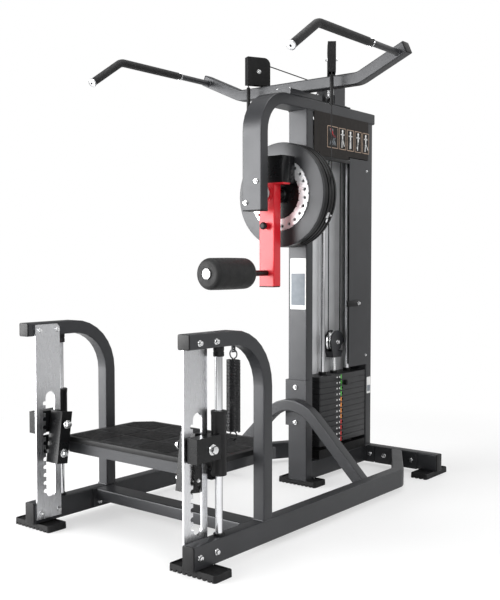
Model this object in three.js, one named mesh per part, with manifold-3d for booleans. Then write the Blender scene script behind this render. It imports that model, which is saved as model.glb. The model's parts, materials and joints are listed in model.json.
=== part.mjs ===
// Standing hip and glute machine with a selectorised weight stack.
//
// Units are millimetres. +X is the machine's right, +Y runs from the step frames towards the
// weight tower and +Z is up. The origin is the centre of the tower foot's sole, on the floor.
// Paired pieces are drawn on the right-hand side and mirrored in the plane x = 0.

import * as THREE from 'three';
import { mergeVertices } from 'three/addons/utils/BufferGeometryUtils.js';
import Module from 'manifold-3d';

const wasm = await Module();
wasm.setup();

// ---------------------------------------------------------------- driving dimensions

const GAP = 0.3;                 // paint and assembly gap between neighbouring pieces
const WALL = 3;                  // wall of every steel tube
const SOLE = 20;                 // height of the rubber feet under the steel
const TUBE = 50;                 // width of the square tubes
const TUBE_CORNER = 6;           // outer corner radius of the tubes

const SIDE_X = 400;              // centre plane of each side frame
const RAIL_TOP = 100;            // top of the base rails and of the base beam
const RAIL_FRONT = -1186;        // open front end of the base rails
const RAIL_BEND_Y = 157;         // where the rails turn inwards
const RAIL_BEND_DEG = 30;
const FLANGE_Y = 482;            // front face of the bolted flanges on the rear cross tube
const CROSS_Y = 488;             // front face of the rear cross tube
const CROSS_HALF = 415;          // half length of the rear cross tube
const RAIL_FLANGE_X = [93, 318];
const BEAM_FLANGE = 87;          // half width of the base beam's rear flange
const BASE_BEAM_WIDTH = 80;
const FRONT_CROSS_Y = [-905, -790];
const FRONT_CROSS_Z = [25, 98];
const FOOT_LIP = 5;
const FRONT_FOOT = [304, 504, -1180, -1092];
const TOWER_FOOT = [-100, 100, -45, 45];
const REAR_FOOT = [333, CROSS_HALF, 394, 607];
const ARCH_R = 165;
const ARCH_Y = -75;              // plane of the arch between the rails
const SADDLE_Z = [267, 472];     // the arch's saddle on the front post
const SADDLE_FRONT = -51;
const SHEET = 2;                 // thickness of the tower's side panels

const POST_HALF = 50;            // half width of the tower posts and of the top beam
const POST_DEPTH = 50;
const FRONT_POST_Y = -14;        // centre of the tower's front post
const REAR_POST_Y = 490;         // centre of the tower's rear post
const BEAM_Z = 1660;             // underside of the top beam
const BEAM_REAR = 530;
const DROP_POST_Y = -341;        // centre of the post that hangs from the top beam
const DROP_POST_END = 1210;
const BEAM_BEND = 150;
const CABLE_SLOT_Y = [195, 325]; // slot in the top beam for the cables
const SHROUD_Y = [-8, 505];
const SHROUD_Z = [110, 1650];
const COVER_Y = [306, 478];
const COVER_Z = [500, 1480];
const CHART_Y = [11, 469];
const CHART_Z = [1483, 1663];

const BAR_Y = -35;               // centre of the handle crossbar
const BAR_Z = 1758;
const BAR_SADDLE_Y = [-160, 80]; // saddle plate on the top beam
const BAR_STRAIGHT = 316;        // half length of the crossbar's level stretch
const WING_DEG = 24;
const WING_END = 530;            // half width of the crossbar over its wing ends
const HANDLE_X = 500;
const HANDLE_Z = 1835;
const GRIP_START = -262;
const GRIP_BEND_Y = -620;
const GRIP_BEND_DEG = 34.5;
const GRIP_DROP = 195;           // length of the sloping end of each handle
const HANDLE_R = 12.5;
const GRIP_R = 16;

const PIVOT_Z = 1283;            // hip axis, along Y
const SHAFT_R = 20;
const CAM_R = 224.5;
const CABLE_PITCH = 222;         // radius at which the cables leave the cam
const CAM_FRONT = -169;
const CAM_REAR = -70;
const INDEX_R = 136;             // circle of the index holes
const INDEX_COUNT = 24;
const INDEX_RING_R = [104, 153];
const HUB_R = 34;                // hub of the cam, joined to the face by a web
const HUB_Y = [-178, -64];
const WEB_Y = [-163, -157];
const WEB_R = 102;
const DRUM_R = 207;              // inside of the cam's rim
const GROOVE_PITCH = 22;
const CLAMP_DROP_DEG = 24;       // the cable clamps sit this far below the hip axis
const FLANGE_R = 48;             // end flanges of the fixed shaft
const FLANGE_DEPTH = 8;
const RING_FRONT = -176;
const ARM_FRONT = -264;
const ARM_REAR = -215;
const ARM_WIDTH = 80;
const ARM_Z = [-389, 42];        // ends of the red tube, from the hip axis
const PLUNGER_R = 6;
const COUNTER_HALF = 86;
const COUNTER_Z = [44, 157];
const COUNTER_REAR = -179;
const AXLE_DROP = 334;           // roller axle below the hip axis
const ROLLER_AXLE_R = 12;
const ROLLER_R = 63;
const ROLLER_FRONT = -643;
const ROLLER_REAR = -400;

const CABLE_R = 2.5;
const CABLE_Y = -108;            // plane of the cable grooves
const SIDE_PULLEY_R = 44;        // pitch radii of the pulleys
const SIDE_PULLEY_Z = 1846;
const TOP_PULLEY_R = 36;
const TOP_PULLEY_Z = 1764;
const LIFT_Y = 258;              // stem of the weight stack and centre of the lifting pulley
const LIFT_PULLEY_R = 49;
const LIFT_PULLEY_Z = 620;
const YOKE_R = 55;               // lifting yoke: round top, drop to its foot and half width there
const YOKE_DROP = 71;
const YOKE_FOOT = 34;
const JOINT_Z = 1685;            // where the top and the lifting stretches of cable meet
const STOP_Z = [1650, 1775];     // sleeve that stops each cable under its side pulley
const STOP_R = 8;
const AXLE_R = 6;
const TOP_AXLE_R = 5;

const STACK_BOTTOM = 156;
const PLATE_PITCH = 26.5;
const LOWER_PLATES = 10;
const PLATE_HALF = 48;
const STACK_FRONT = 72;
const STACK_REAR = 462;
const ROD_YS = [161, 371];
const ROD_R = 11;
const STEM_R = 10;
const STEM_BORE = 12;
const PIN_R = 5;
const PIN_BORE = 5.5;
const PIN_KNOB_R = 13;

const STEP_Z = 747;              // centre of the step frames' top tube
const STEP_FRONT = -1204;
const STEP_BEND = 180;
const STEP_POST_Y = -804.5;
const RACK_X = [366.7, 374.7];
const RACK_Y = [-1180, -1068];
const RACK_Z = [37, 765];
const SLOT_Y = [-1137, -1094];
const SLOT_Z = [113, 513];
const NOTCH_R = 8.5;
const NOTCH_PITCH = 30;
const LATCH_Y = -1125;
const LATCH_Z = 290;
const GUIDE_Y = -1040;
const SLEEVE_Z = [300, 511];
const LEVER_Y = -1102;
const LEVER_Z = 395;
const LEVER_TILT = 7.5;
const DECK_TOP = 340;
const DECK_HALF = 360;
const DECK_Y = [-1060, -635];
const SPRING_Y = -965;
const SPRING_Z = [430, 675];     // closed coils of the lifting spring
const SPRING_R = 24;
const HOOK_Z = [403, 706];       // where the end loops hang in their eyes
const WIRE_R = 2.5;
const GUIDE_R = 12.5;
const SLEEVE_R = 24.5;
const SLEEVE_BORE = 13.3;
const PAN_Z = [278, 318];        // steel pan under the cover

// ---------------------------------------------------------------- finishes

function finish(color, roughness, metalness) {
  return new THREE.MeshStandardMaterial({ color, roughness, metalness });
}

const charcoal = finish(0x55575b, 0.45, 0.6);
const red = finish(0xa3161c, 0.4, 0.3);
const chrome = finish(0xd8dadd, 0.12, 1);
const brushed = finish(0xb9bbbe, 0.35, 1);
const black = finish(0x151517, 0.6, 0.1);
const rubber = finish(0x1b1b1c, 0.85, 0);
const foam = finish(0x171718, 0.9, 0);
const panel = finish(0xd6d8da, 0.5, 0.2);
const iron = finish(0x333437, 0.6, 0.5);

// ---------------------------------------------------------------- geometry helpers

const X = new THREE.Vector3(1, 0, 0);
const Y = new THREE.Vector3(0, 1, 0);
const Z = new THREE.Vector3(0, 0, 1);

function vec(x, y, z) {
  return new THREE.Vector3(x, y, z);
}

/** Turns a closed geometry into a solid that can be joined and cut. */
function solid(geometry) {
  const bare = geometry.clone();
  bare.deleteAttribute('normal');
  bare.deleteAttribute('uv');
  bare.clearGroups();
  const merged = mergeVertices(bare, 1e-3);
  return new wasm.Manifold(new wasm.Mesh({
    numProp: 3,
    vertProperties: new Float32Array(merged.attributes.position.array),
    triVerts: new Uint32Array(merged.index.array),
  }));
}

function geometryOf(manifold) {
  const mesh = manifold.getMesh();
  const geometry = new THREE.BufferGeometry();
  geometry.setAttribute('position', new THREE.BufferAttribute(mesh.vertProperties, 3));
  geometry.setIndex(new THREE.BufferAttribute(mesh.triVerts, 1));
  geometry.computeVertexNormals();
  return geometry;
}

function join(...geometries) {
  const solids = geometries.map(solid);
  return geometryOf(solids.reduce((whole, piece) => whole.add(piece)));
}

function cut(body, ...tools) {
  return geometryOf(tools.map(solid).reduce((whole, tool) => whole.subtract(tool), solid(body)));
}

/** Axis-aligned block between two opposite corners. */
function block(x0, x1, y0, y1, z0, z1) {
  const box = new THREE.BoxGeometry(x1 - x0, y1 - y0, z1 - z0);
  return box.translate((x0 + x1) / 2, (y0 + y1) / 2, (z0 + z1) / 2);
}

/** Round bar between two points. */
function rod(from, to, radius, sides = 16) {
  const along = to.clone().sub(from);
  const bar = new THREE.CylinderGeometry(radius, radius, along.length(), sides);
  bar.applyQuaternion(new THREE.Quaternion().setFromUnitVectors(Y, along.clone().normalize()));
  return bar.translate(...from.clone().add(to).multiplyScalar(0.5).toArray());
}

/** Solid of revolution about Y; the outline of [radius, height] points meets the axis or is a loop. */
function turned(outline, sides) {
  const loop = outline[0][0] > 0 ? [...outline, outline[0]] : outline;
  return new THREE.LatheGeometry(loop.map(([radius, height]) => new THREE.Vector2(radius, height)), sides);
}

/** The same solid of revolution, stood up along Z. */
function turnedUpright(outline, sides) {
  return turned(outline, sides).rotateX(Math.PI / 2);
}

function roundedRect(width, height, radius) {
  const x = width / 2 - radius;
  const y = height / 2 - radius;
  const shape = new THREE.Shape();
  shape.absarc(x, y, radius, 0, Math.PI / 2);
  shape.absarc(-x, y, radius, Math.PI / 2, Math.PI);
  shape.absarc(-x, -y, radius, Math.PI, 1.5 * Math.PI);
  shape.absarc(x, -y, radius, 1.5 * Math.PI, 2 * Math.PI);
  shape.closePath();
  return shape;
}

function rectHole(width, height) {
  const hole = new THREE.Path();
  hole.moveTo(-width / 2, -height / 2);
  hole.lineTo(-width / 2, height / 2);
  hole.lineTo(width / 2, height / 2);
  hole.lineTo(width / 2, -height / 2);
  hole.closePath();
  return hole;
}

/** Section of a rectangular steel tube. */
function tubeSection(width, height) {
  const shape = roundedRect(width, height, TUBE_CORNER);
  shape.holes.push(rectHole(width - 2 * WALL, height - 2 * WALL));
  return shape;
}

/** Points of a regular polygon that stands for a circle. */
function circle(radius, sides) {
  return Array.from({ length: sides }, (_, i) => {
    const angle = (2 * Math.PI * i) / sides;
    return new THREE.Vector2(radius * Math.cos(angle), radius * Math.sin(angle));
  });
}

function ringSection(outer, inner, sides = 12) {
  const shape = new THREE.Shape(circle(outer, sides));
  if (inner > 0) shape.holes.push(new THREE.Path(circle(inner, sides)));
  return shape;
}

/** Centreline that runs straight and turns in one plane, as a bent tube does. */
class BentRun extends THREE.Curve {
  constructor(start, heading, side) {
    super();
    this.side = side.clone().normalize();
    this.points = [start.clone()];
    this.headings = [heading.clone().normalize()];
  }

  ahead(length) {
    const heading = this.headings.at(-1);
    this.points.push(this.points.at(-1).clone().addScaledVector(heading, length));
    this.headings.push(heading.clone());
    return this;
  }

  /** Turns about the side axis by the right-hand rule. */
  turn(radius, degrees, steps) {
    const from = this.points.at(-1);
    const heading = this.headings.at(-1);
    const inward = this.side.clone().cross(heading).multiplyScalar(Math.sign(degrees) * radius);
    const centre = from.clone().add(inward);
    for (let i = 1; i <= steps; i += 1) {
      const angle = THREE.MathUtils.degToRad((degrees * i) / steps);
      const spoke = from.clone().sub(centre).applyAxisAngle(this.side, angle);
      this.points.push(centre.clone().add(spoke));
      this.headings.push(heading.clone().applyAxisAngle(this.side, angle));
    }
    return this;
  }

  get steps() {
    return this.points.length - 1;
  }

  getPoint(t, target = new THREE.Vector3()) {
    return target.copy(this.points[Math.round(t * this.steps)]);
  }

  getPointAt(u, target) {
    return this.getPoint(u, target);
  }

  computeFrenetFrames(segments) {
    const tangents = this.headings.slice(0, segments + 1);
    return {
      tangents,
      normals: tangents.map(() => this.side.clone()),
      binormals: tangents.map((tangent) => tangent.clone().cross(this.side)),
    };
  }
}

/** Sweeps a section along a bent run; the section's x lies along the run's side axis. */
function swept(section, run) {
  return new THREE.ExtrudeGeometry(section, { steps: run.steps, extrudePath: run, curveSegments: 1 });
}

function straightTube(from, to, side, width, height) {
  const along = to.clone().sub(from);
  return swept(tubeSection(width, height), new BentRun(from, along, side).ahead(along.length()));
}

/** Flat plate in the YZ plane, from an outline drawn in (y, z), between two x positions. */
function plateAcrossX(shape, x0, x1, curveSegments = 3) {
  const plate = new THREE.ExtrudeGeometry(shape, { depth: x1 - x0, bevelEnabled: false, curveSegments });
  const toFrame = new THREE.Matrix4().makeBasis(Y, Z, X);
  return plate.applyMatrix4(toFrame).translate(x0, 0, 0);
}

function mirrored(geometry) {
  const copy = geometry.index ? geometry.toNonIndexed() : geometry.clone();
  copy.scale(-1, 1, 1);
  const position = copy.attributes.position;
  for (let i = 0; i < position.count; i += 3) {
    const second = vec(0, 0, 0).fromBufferAttribute(position, i + 1);
    const third = vec(0, 0, 0).fromBufferAttribute(position, i + 2);
    position.setXYZ(i + 1, ...third.toArray());
    position.setXYZ(i + 2, ...second.toArray());
  }
  copy.computeVertexNormals();
  return copy;
}

// ---------------------------------------------------------------- scene graph helpers

const group = new THREE.Group();

function add(name, geometry, material, parent = group) {
  const mesh = new THREE.Mesh(geometry, material);
  mesh.name = name;
  parent.add(mesh);
  return mesh;
}

/** Adds a right-hand piece and its mirror image on the left. */
function addPair(name, geometry, material, parent = group) {
  add(`${name}_right`, geometry, material, parent);
  add(`${name}_left`, mirrored(geometry), material, parent);
}

function subgroup(x, y, z, parent = group) {
  const child = new THREE.Group();
  child.position.set(x, y, z);
  parent.add(child);
  return child;
}

// ---------------------------------------------------------------- base and side frames

/** Rubber tray: a flat sole with a low lip, notched where the steel tubes cross it. */
function footTray(x0, x1, y0, y1, ...notches) {
  const tray = block(x0, x1, y0, y1, 0, SOLE + FOOT_LIP);
  const [left, right, front, rear] = [x0 + FOOT_LIP, x1 - FOOT_LIP, y0 + FOOT_LIP, y1 - FOOT_LIP];
  const pocket = block(left, right, front, rear, SOLE, SOLE + 2 * FOOT_LIP);
  return cut(tray, pocket, ...notches);
}

function addFeet() {
  const overSole = [SOLE, SOLE + 2 * FOOT_LIP];
  const [x0, x1, y0, y1] = FRONT_FOOT;
  const railNotch = block(SIDE_X - TUBE / 2 - 1, SIDE_X + TUBE / 2 + 1, y0 - 1, y1 + 1, ...overSole);
  addPair('foot_front', footTray(x0, x1, y0, y1, railNotch), rubber);
  const [, , front, rear] = TOWER_FOOT;
  const postNotch = block(-POST_HALF - 1, POST_HALF + 1, front - 1, rear + 1, ...overSole);
  add('foot_tower', footTray(...TOWER_FOOT, postNotch), rubber);
  const [inner, outer] = REAR_FOOT;
  const crossNotch = block(inner - 1, outer + 1, CROSS_Y - 1, CROSS_Y + TUBE + 1, ...overSole);
  addPair('foot_rear', footTray(...REAR_FOOT, crossNotch), rubber);
}

/** Base rail: runs back, turns inwards and ends on a flange bolted to the rear cross tube. */
function railTube() {
  const bend = 60;
  const tangent = bend * Math.tan(THREE.MathUtils.degToRad(RAIL_BEND_DEG / 2));
  const run = new BentRun(vec(SIDE_X, RAIL_FRONT, (SOLE + RAIL_TOP) / 2), Y, Z)
    .ahead(RAIL_BEND_Y - tangent - RAIL_FRONT)
    .turn(bend, RAIL_BEND_DEG, 3)
    .ahead(400);
  const beyond = block(0, 500, FLANGE_Y + 1, 700, 0, 200);
  return cut(swept(tubeSection(RAIL_TOP - SOLE, TUBE), run), beyond);
}

function sideFrame() {
  const stepRun = new BentRun(vec(SIDE_X, STEP_FRONT, STEP_Z), Y, X)
    .ahead(STEP_POST_Y - STEP_BEND - STEP_FRONT)
    .turn(STEP_BEND, -90, 8)
    .ahead(STEP_Z - STEP_BEND - RAIL_TOP + WALL / 2);
  const flange = block(...RAIL_FLANGE_X, FLANGE_Y, CROSS_Y - GAP, SOLE, RAIL_TOP);
  return join(railTube(), swept(tubeSection(TUBE, TUBE), stepRun), flange);
}

/** Thin ear with a hole for one of the spring's loops; it reaches from front to behind the hole. */
function springEar(front, low, high, holeZ) {
  const rim = 2 * WIRE_R + 4;
  const plate = block(SIDE_X - 2, SIDE_X + 2, front, SPRING_Y + rim, low, high);
  const [from, to] = [SIDE_X - 9, SIDE_X + 9].map((x) => vec(x, SPRING_Y, holeZ));
  return cut(plate, rod(from, to, 2 * WIRE_R, 12));
}

function frontCrossTube() {
  const inner = SIDE_X - TUBE / 2 - GAP;
  const plateDepth = 6;
  const [width, height] = [85, 45];
  const y = (FRONT_CROSS_Y[0] + FRONT_CROSS_Y[1]) / 2;
  const z = FRONT_CROSS_Z[1] - height / 2;
  const tube = straightTube(vec(1 - inner, y, z), vec(inner - 1, y, z), Y, width, height);
  const [w, h] = [width / 2 - WALL, height / 2 - WALL];
  const mouth = block(inner - 2 * plateDepth, inner + 1, y - w, y + w, z - h, z + h);
  const plate = cut(block(inner - plateDepth, inner, ...FRONT_CROSS_Y, ...FRONT_CROSS_Z), mouth);
  return join(tube, plate, mirrored(plate));
}

function rearCrossTube() {
  const y = CROSS_Y + TUBE / 2;
  const z = (SOLE + RAIL_TOP) / 2;
  return straightTube(vec(-CROSS_HALF, y, z), vec(CROSS_HALF, y, z), Y, TUBE, RAIL_TOP - SOLE);
}

/** Centre beam of the base, from the front post to a flange on the rear cross tube. */
function baseBeam() {
  const front = FRONT_POST_Y + POST_DEPTH / 2;
  const z = (SOLE + RAIL_TOP) / 2;
  const width = BASE_BEAM_WIDTH;
  const tube = straightTube(vec(0, front, z), vec(0, FLANGE_Y + 1, z), X, width, RAIL_TOP - SOLE);
  return join(tube, block(-BEAM_FLANGE, BEAM_FLANGE, FLANGE_Y, CROSS_Y - GAP, SOLE, RAIL_TOP));
}

/** Arch between the two rails, with the saddle that clasps the front post. */
function archBrace() {
  const leg = 400;
  const slant = Math.SQRT1_2;
  const bendCentreZ = 200;
  const start = vec((ARCH_R + leg) * slant, ARCH_Y, bendCentreZ + (ARCH_R - leg) * slant);
  const run = new BentRun(start, vec(-1, 0, 1), Y).ahead(leg).turn(ARCH_R, -90, 8).ahead(leg);
  const beyondRail = block(SIDE_X - TUBE / 2 - GAP, 600, -200, 50, -200, 400);
  const tube = cut(swept(tubeSection(TUBE, TUBE), run), beyondRail, mirrored(beyondRail));
  const postFront = FRONT_POST_Y - POST_DEPTH / 2;
  const half = POST_HALF + 5;
  const web = block(-half, half, SADDLE_FRONT, postFront - GAP, ...SADDLE_Z);
  const wing = block(POST_HALF + GAP, half, SADDLE_FRONT, FRONT_POST_Y + 2, ...SADDLE_Z);
  return join(tube, web, wing, mirrored(wing));
}

// ---------------------------------------------------------------- weight tower

function towerPost(y, bottom) {
  return straightTube(vec(0, y, bottom), vec(0, y, BEAM_Z), X, 2 * POST_HALF, POST_DEPTH);
}

/** Top beam, bent down at the front into the hanging post, slotted for the cables. */
function topBeam() {
  const z = BEAM_Z + TUBE / 2;
  const run = new BentRun(vec(0, BEAM_REAR, z), vec(0, -1, 0), X)
    .ahead(BEAM_REAR - DROP_POST_Y - BEAM_BEND)
    .turn(BEAM_BEND, 90, 8)
    .ahead(z - BEAM_BEND - DROP_POST_END);
  const cableSlot = block(-12, 12, ...CABLE_SLOT_Y, BEAM_Z - 20, BEAM_Z + TUBE + 10);
  return cut(swept(tubeSection(2 * POST_HALF, TUBE), run), cableSlot);
}

/** Bright sheet that closes the tower's left side. */
function shroudPanel() {
  return block(-POST_HALF - GAP - SHEET, -POST_HALF - GAP, ...SHROUD_Y, ...SHROUD_Z);
}

function coverPanel() {
  return block(POST_HALF + GAP, POST_HALF + GAP + SHEET, ...COVER_Y, ...COVER_Z);
}

function chartPlacard() {
  const face = POST_HALF + GAP;
  const lip = block(face, face + 6, 50, 290, CHART_Z[0] - 15, CHART_Z[0] + 1);
  return join(block(face, face + 3, ...CHART_Y, ...CHART_Z), lip);
}

function stackGuideRod() {
  return rod(vec(0, 0, RAIL_TOP + GAP), vec(0, 0, BEAM_Z - GAP), ROD_R);
}

/** Seat of the stack: a block with a rubber bumper around each rod. */
function stackBase() {
  const seat = block(-47, 47, 70, 460, RAIL_TOP + GAP, 140);
  const bumpers = ROD_YS.map((y) => rod(vec(0, y, 139), vec(0, y, STACK_BOTTOM - GAP), 24));
  const bores = ROD_YS.map((y) => rod(vec(0, y, 90), vec(0, y, 170), ROD_R + 1));
  return cut(join(seat, ...bumpers), ...bores);
}

function plateBlank(bottom, top, inset = 0) {
  return block(-PLATE_HALF + inset, PLATE_HALF - inset, STACK_FRONT + inset, STACK_REAR - inset, bottom, top);
}

function plateBores(bottom, top) {
  const holes = [...ROD_YS, LIFT_Y].map((y) => [y, y === LIFT_Y ? STEM_BORE : ROD_R + 1]);
  return holes.map(([y, radius]) => rod(vec(0, y, bottom - 5), vec(0, y, top + 5), radius, 12));
}

/** The resting plates, drawn as one block with a groove at each parting line. */
function lowerPlates() {
  const top = STACK_BOTTOM + LOWER_PLATES * PLATE_PITCH - GAP;
  const plates = Array.from({ length: LOWER_PLATES }, (_, i) => {
    const bottom = STACK_BOTTOM + i * PLATE_PITCH;
    return plateBlank(bottom, bottom + PLATE_PITCH - 1.5);
  });
  const core = plateBlank(STACK_BOTTOM + 1, top - 2, 3);
  return cut(join(core, ...plates), ...plateBores(STACK_BOTTOM, top));
}

const LIFTED_Z = STACK_BOTTOM + LOWER_PLATES * PLATE_PITCH;
const HEAD_Z = LIFTED_Z + PLATE_PITCH;
const PIN_Z = LIFTED_Z + PLATE_PITCH / 2;
const YOKE_Z = LIFT_PULLEY_Z - YOKE_DROP;

function liftedPlate() {
  const top = HEAD_Z - GAP;
  const pinBore = rod(vec(-14, LIFT_Y, PIN_Z), vec(60, LIFT_Y, PIN_Z), PIN_BORE, 12);
  return cut(plateBlank(LIFTED_Z, top), ...plateBores(LIFTED_Z, top), pinBore);
}

/** Head plate with its selector stem, cross-drilled for the pin. */
function headPlate() {
  const top = HEAD_Z + PLATE_PITCH;
  const rodBores = ROD_YS.map((y) => rod(vec(0, y, HEAD_Z - 5), vec(0, y, top + 5), ROD_R + 1, 12));
  const stem = rod(vec(0, LIFT_Y, STACK_BOTTOM + 4), vec(0, LIFT_Y, YOKE_Z), STEM_R, 12);
  const pinBore = rod(vec(-20, LIFT_Y, PIN_Z), vec(20, LIFT_Y, PIN_Z), PIN_BORE, 12);
  return cut(join(plateBlank(HEAD_Z, top), stem), ...rodBores, pinBore);
}

function selectorPin() {
  const shank = rod(vec(-11, 0, 0), vec(58, 0, 0), PIN_R, 12);
  return join(shank, rod(vec(55, 0, 0), vec(78, 0, 0), PIN_KNOB_R));
}

// ---------------------------------------------------------------- cables and pulleys

/** Grooved wheel about Y. */
function pulley(pitch, width, bore) {
  const rim = pitch + 4;
  const floor = pitch - CABLE_R - 1;
  const half = width / 2;
  return turned([
    [bore, -half], [rim, -half], [rim, -half + 2], [floor, -CABLE_R - 1],
    [floor, CABLE_R + 1], [rim, half - 2], [rim, half], [bore, half],
  ], 18);
}

/** Layout of one top cable, in the vertical plane from the cam's rim to the tower's centre plane. */
function cableLayout(side, towerY) {
  const start = vec(side * CABLE_PITCH, CABLE_Y, PIVOT_Z);
  const across = vec(0, towerY, PIVOT_Z).sub(start);
  const reach = across.length();
  across.normalize();
  const run = reach - TOP_PULLEY_R - SIDE_PULLEY_R;
  const drop = SIDE_PULLEY_Z - TOP_PULLEY_Z;
  const spacing = Math.hypot(run, drop);
  const slope = Math.atan2(drop, run) + Math.asin((SIDE_PULLEY_R - TOP_PULLEY_R) / spacing);
  return {
    start,
    across,
    normal: Z.clone().cross(across),
    slope: THREE.MathUtils.radToDeg(slope),
    free: Math.sqrt(spacing ** 2 - (SIDE_PULLEY_R - TOP_PULLEY_R) ** 2),
    sideCentre: start.clone().addScaledVector(across, SIDE_PULLEY_R).setZ(SIDE_PULLEY_Z),
    topCentre: start.clone().addScaledVector(across, reach - TOP_PULLEY_R).setZ(TOP_PULLEY_Z),
  };
}

const rightCable = cableLayout(1, LIFT_Y - LIFT_PULLEY_R);
const leftCable = cableLayout(-1, LIFT_Y + LIFT_PULLEY_R);

/** Cable from the cam, over both pulleys and down into the tower, with its stop sleeve. */
function topCable(layout) {
  const run = new BentRun(layout.start, Z, layout.normal)
    .ahead(SIDE_PULLEY_Z - PIVOT_Z)
    .turn(SIDE_PULLEY_R, 90 + layout.slope, 8)
    .ahead(layout.free)
    .turn(TOP_PULLEY_R, 90 - layout.slope, 6)
    .ahead(TOP_PULLEY_Z - JOINT_Z - GAP);
  const at = layout.start;
  const stop = rod(vec(at.x, at.y, STOP_Z[0]), vec(at.x, at.y, STOP_Z[1]), STOP_R, 12);
  return join(swept(ringSection(CABLE_R, 0, 6), run), stop);
}

/** Loop of cable that hangs in the tower and carries the lifting pulley. */
function liftCable() {
  const run = new BentRun(vec(0, LIFT_Y - LIFT_PULLEY_R, JOINT_Z), vec(0, 0, -1), X)
    .ahead(JOINT_Z - LIFT_PULLEY_Z)
    .turn(LIFT_PULLEY_R, 180, 12)
    .ahead(JOINT_Z - LIFT_PULLEY_Z);
  return swept(ringSection(CABLE_R, 0, 6), run);
}

/** Rotation that stands a wheel drawn about Y onto the normal of a cable's plane. */
function ontoNormal(layout) {
  return new THREE.Quaternion().setFromUnitVectors(Y, layout.normal);
}

/** Closed housing of a side pulley, drawn with x along the cable and y across it. */
function pulleyHousing(layout) {
  const outline = new THREE.Shape();
  outline.moveTo(-54, -60);
  outline.lineTo(56, -60);
  outline.lineTo(56, 34);
  outline.absarc(26, 34, 30, 0, Math.PI / 2);
  outline.lineTo(-54, 64);
  outline.closePath();
  const hollow = new THREE.Shape();
  hollow.moveTo(-50, -70);
  hollow.lineTo(10, -70);
  hollow.lineTo(10, -56);
  hollow.lineTo(52, -56);
  hollow.lineTo(52, 34);
  hollow.absarc(26, 34, 26, 0, Math.PI / 2);
  hollow.lineTo(-50, 60);
  hollow.closePath();
  const exit = block(30, 70, -8, 8, 5, 55);
  const axle = rod(vec(0, -16, 0), vec(0, 16, 0), AXLE_R, 12);
  const foot = rod(vec(32, 0, BAR_Z + TUBE / 2 - SIDE_PULLEY_Z), vec(32, 0, -57), 9, 12);
  const body = join(cut(plateThick(outline, 34), plateThick(hollow, 26), exit), axle, foot);
  const basis = new THREE.Matrix4().makeBasis(layout.across, Z.clone().cross(layout.across), Z);
  return body.applyMatrix4(basis);
}

/** Plate drawn in (x, z) and centred on y = 0. */
function plateThick(shape, thickness) {
  const plate = new THREE.ExtrudeGeometry(shape, { depth: thickness, bevelEnabled: false, curveSegments: 5 });
  return plate.rotateX(Math.PI / 2).translate(0, thickness / 2, 0);
}

/** Fork that holds one of the top pulleys, standing on the top beam. */
function topFork(layout) {
  const foot = BEAM_Z + TUBE + 1 - TOP_PULLEY_Z;
  const cheeks = [1, -1].map((s) => block(
    -15, 15, Math.min(s * 9, s * 13), Math.max(s * 9, s * 13), foot, 12));
  const axle = rod(vec(0, -12, 0), vec(0, 12, 0), TOP_AXLE_R, 12);
  const basis = new THREE.Matrix4().makeBasis(layout.across, Z.clone().cross(layout.across), Z);
  const fork = join(cheeks[0], cheeks[1], axle);
  return fork.applyMatrix4(basis).translate(...layout.topCentre.toArray());
}

function pulleyPost() {
  const floor = BEAM_Z + TUBE;
  const cableSlot = block(-10, 10, 197, 320, floor - 10, floor + 20);
  const base = cut(block(-POST_HALF, POST_HALF, 145, 315, floor, floor + 4), cableSlot);
  const cheeks = [1, -1].map((s) => block(
    Math.min(s * 45, s * POST_HALF), Math.max(s * 45, s * POST_HALF), 180, 266, floor + 1, 1800));
  return join(base, ...cheeks, topFork(rightCable), topFork(leftCable));
}

/** Outline of the lifting yoke in (y, z): round over the pulley, tapered to its foot. */
function yokeOutline(inset, top) {
  const shape = new THREE.Shape();
  const slope = (YOKE_R - YOKE_FOOT) / YOKE_DROP;
  const low = YOKE_DROP - inset;
  shape.moveTo(YOKE_FOOT + slope * inset - inset, -low);
  if (top < 0) {
    shape.lineTo(YOKE_R + slope * top - inset, top);
    shape.lineTo(-YOKE_R - slope * top + inset, top);
  } else {
    shape.absarc(0, 0, YOKE_R, 0, Math.PI);
  }
  shape.lineTo(-YOKE_FOOT - slope * inset + inset, -low);
  shape.closePath();
  return shape;
}

/** Yoke round the lifting pulley: two cheeks and a folded foot that carries the stem. */
function liftCarrier() {
  const cheek = plateAcrossX(yokeOutline(0, 1), 16, 20, 7);
  const trough = cut(plateAcrossX(yokeOutline(0, -42), -20, 20), plateAcrossX(yokeOutline(3, -38), -16, 16));
  const axle = rod(vec(-18, 0, 0), vec(18, 0, 0), AXLE_R, 12);
  return join(cheek, mirrored(cheek), trough, axle).translate(0, LIFT_Y, LIFT_PULLEY_Z);
}

function addPulleys() {
  for (const [side, layout] of [['right', rightCable], ['left', leftCable]]) {
    const housing = add(`pulley_housing_${side}`, pulleyHousing(layout), black);
    housing.position.copy(layout.sideCentre);
    const sideWheel = add(`side_pulley_${side}`, pulley(SIDE_PULLEY_R, 20, AXLE_R + GAP), black);
    sideWheel.position.copy(layout.sideCentre);
    sideWheel.quaternion.copy(ontoNormal(layout));
    const topWheel = add(`top_pulley_${side}`, pulley(TOP_PULLEY_R, 14, TOP_AXLE_R + GAP), brushed);
    topWheel.position.copy(layout.topCentre);
    topWheel.quaternion.copy(ontoNormal(layout));
    add(`cable_${side}`, topCable(layout), rubber);
  }
}

// ---------------------------------------------------------------- hip axis: shaft, cam and arm

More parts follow.
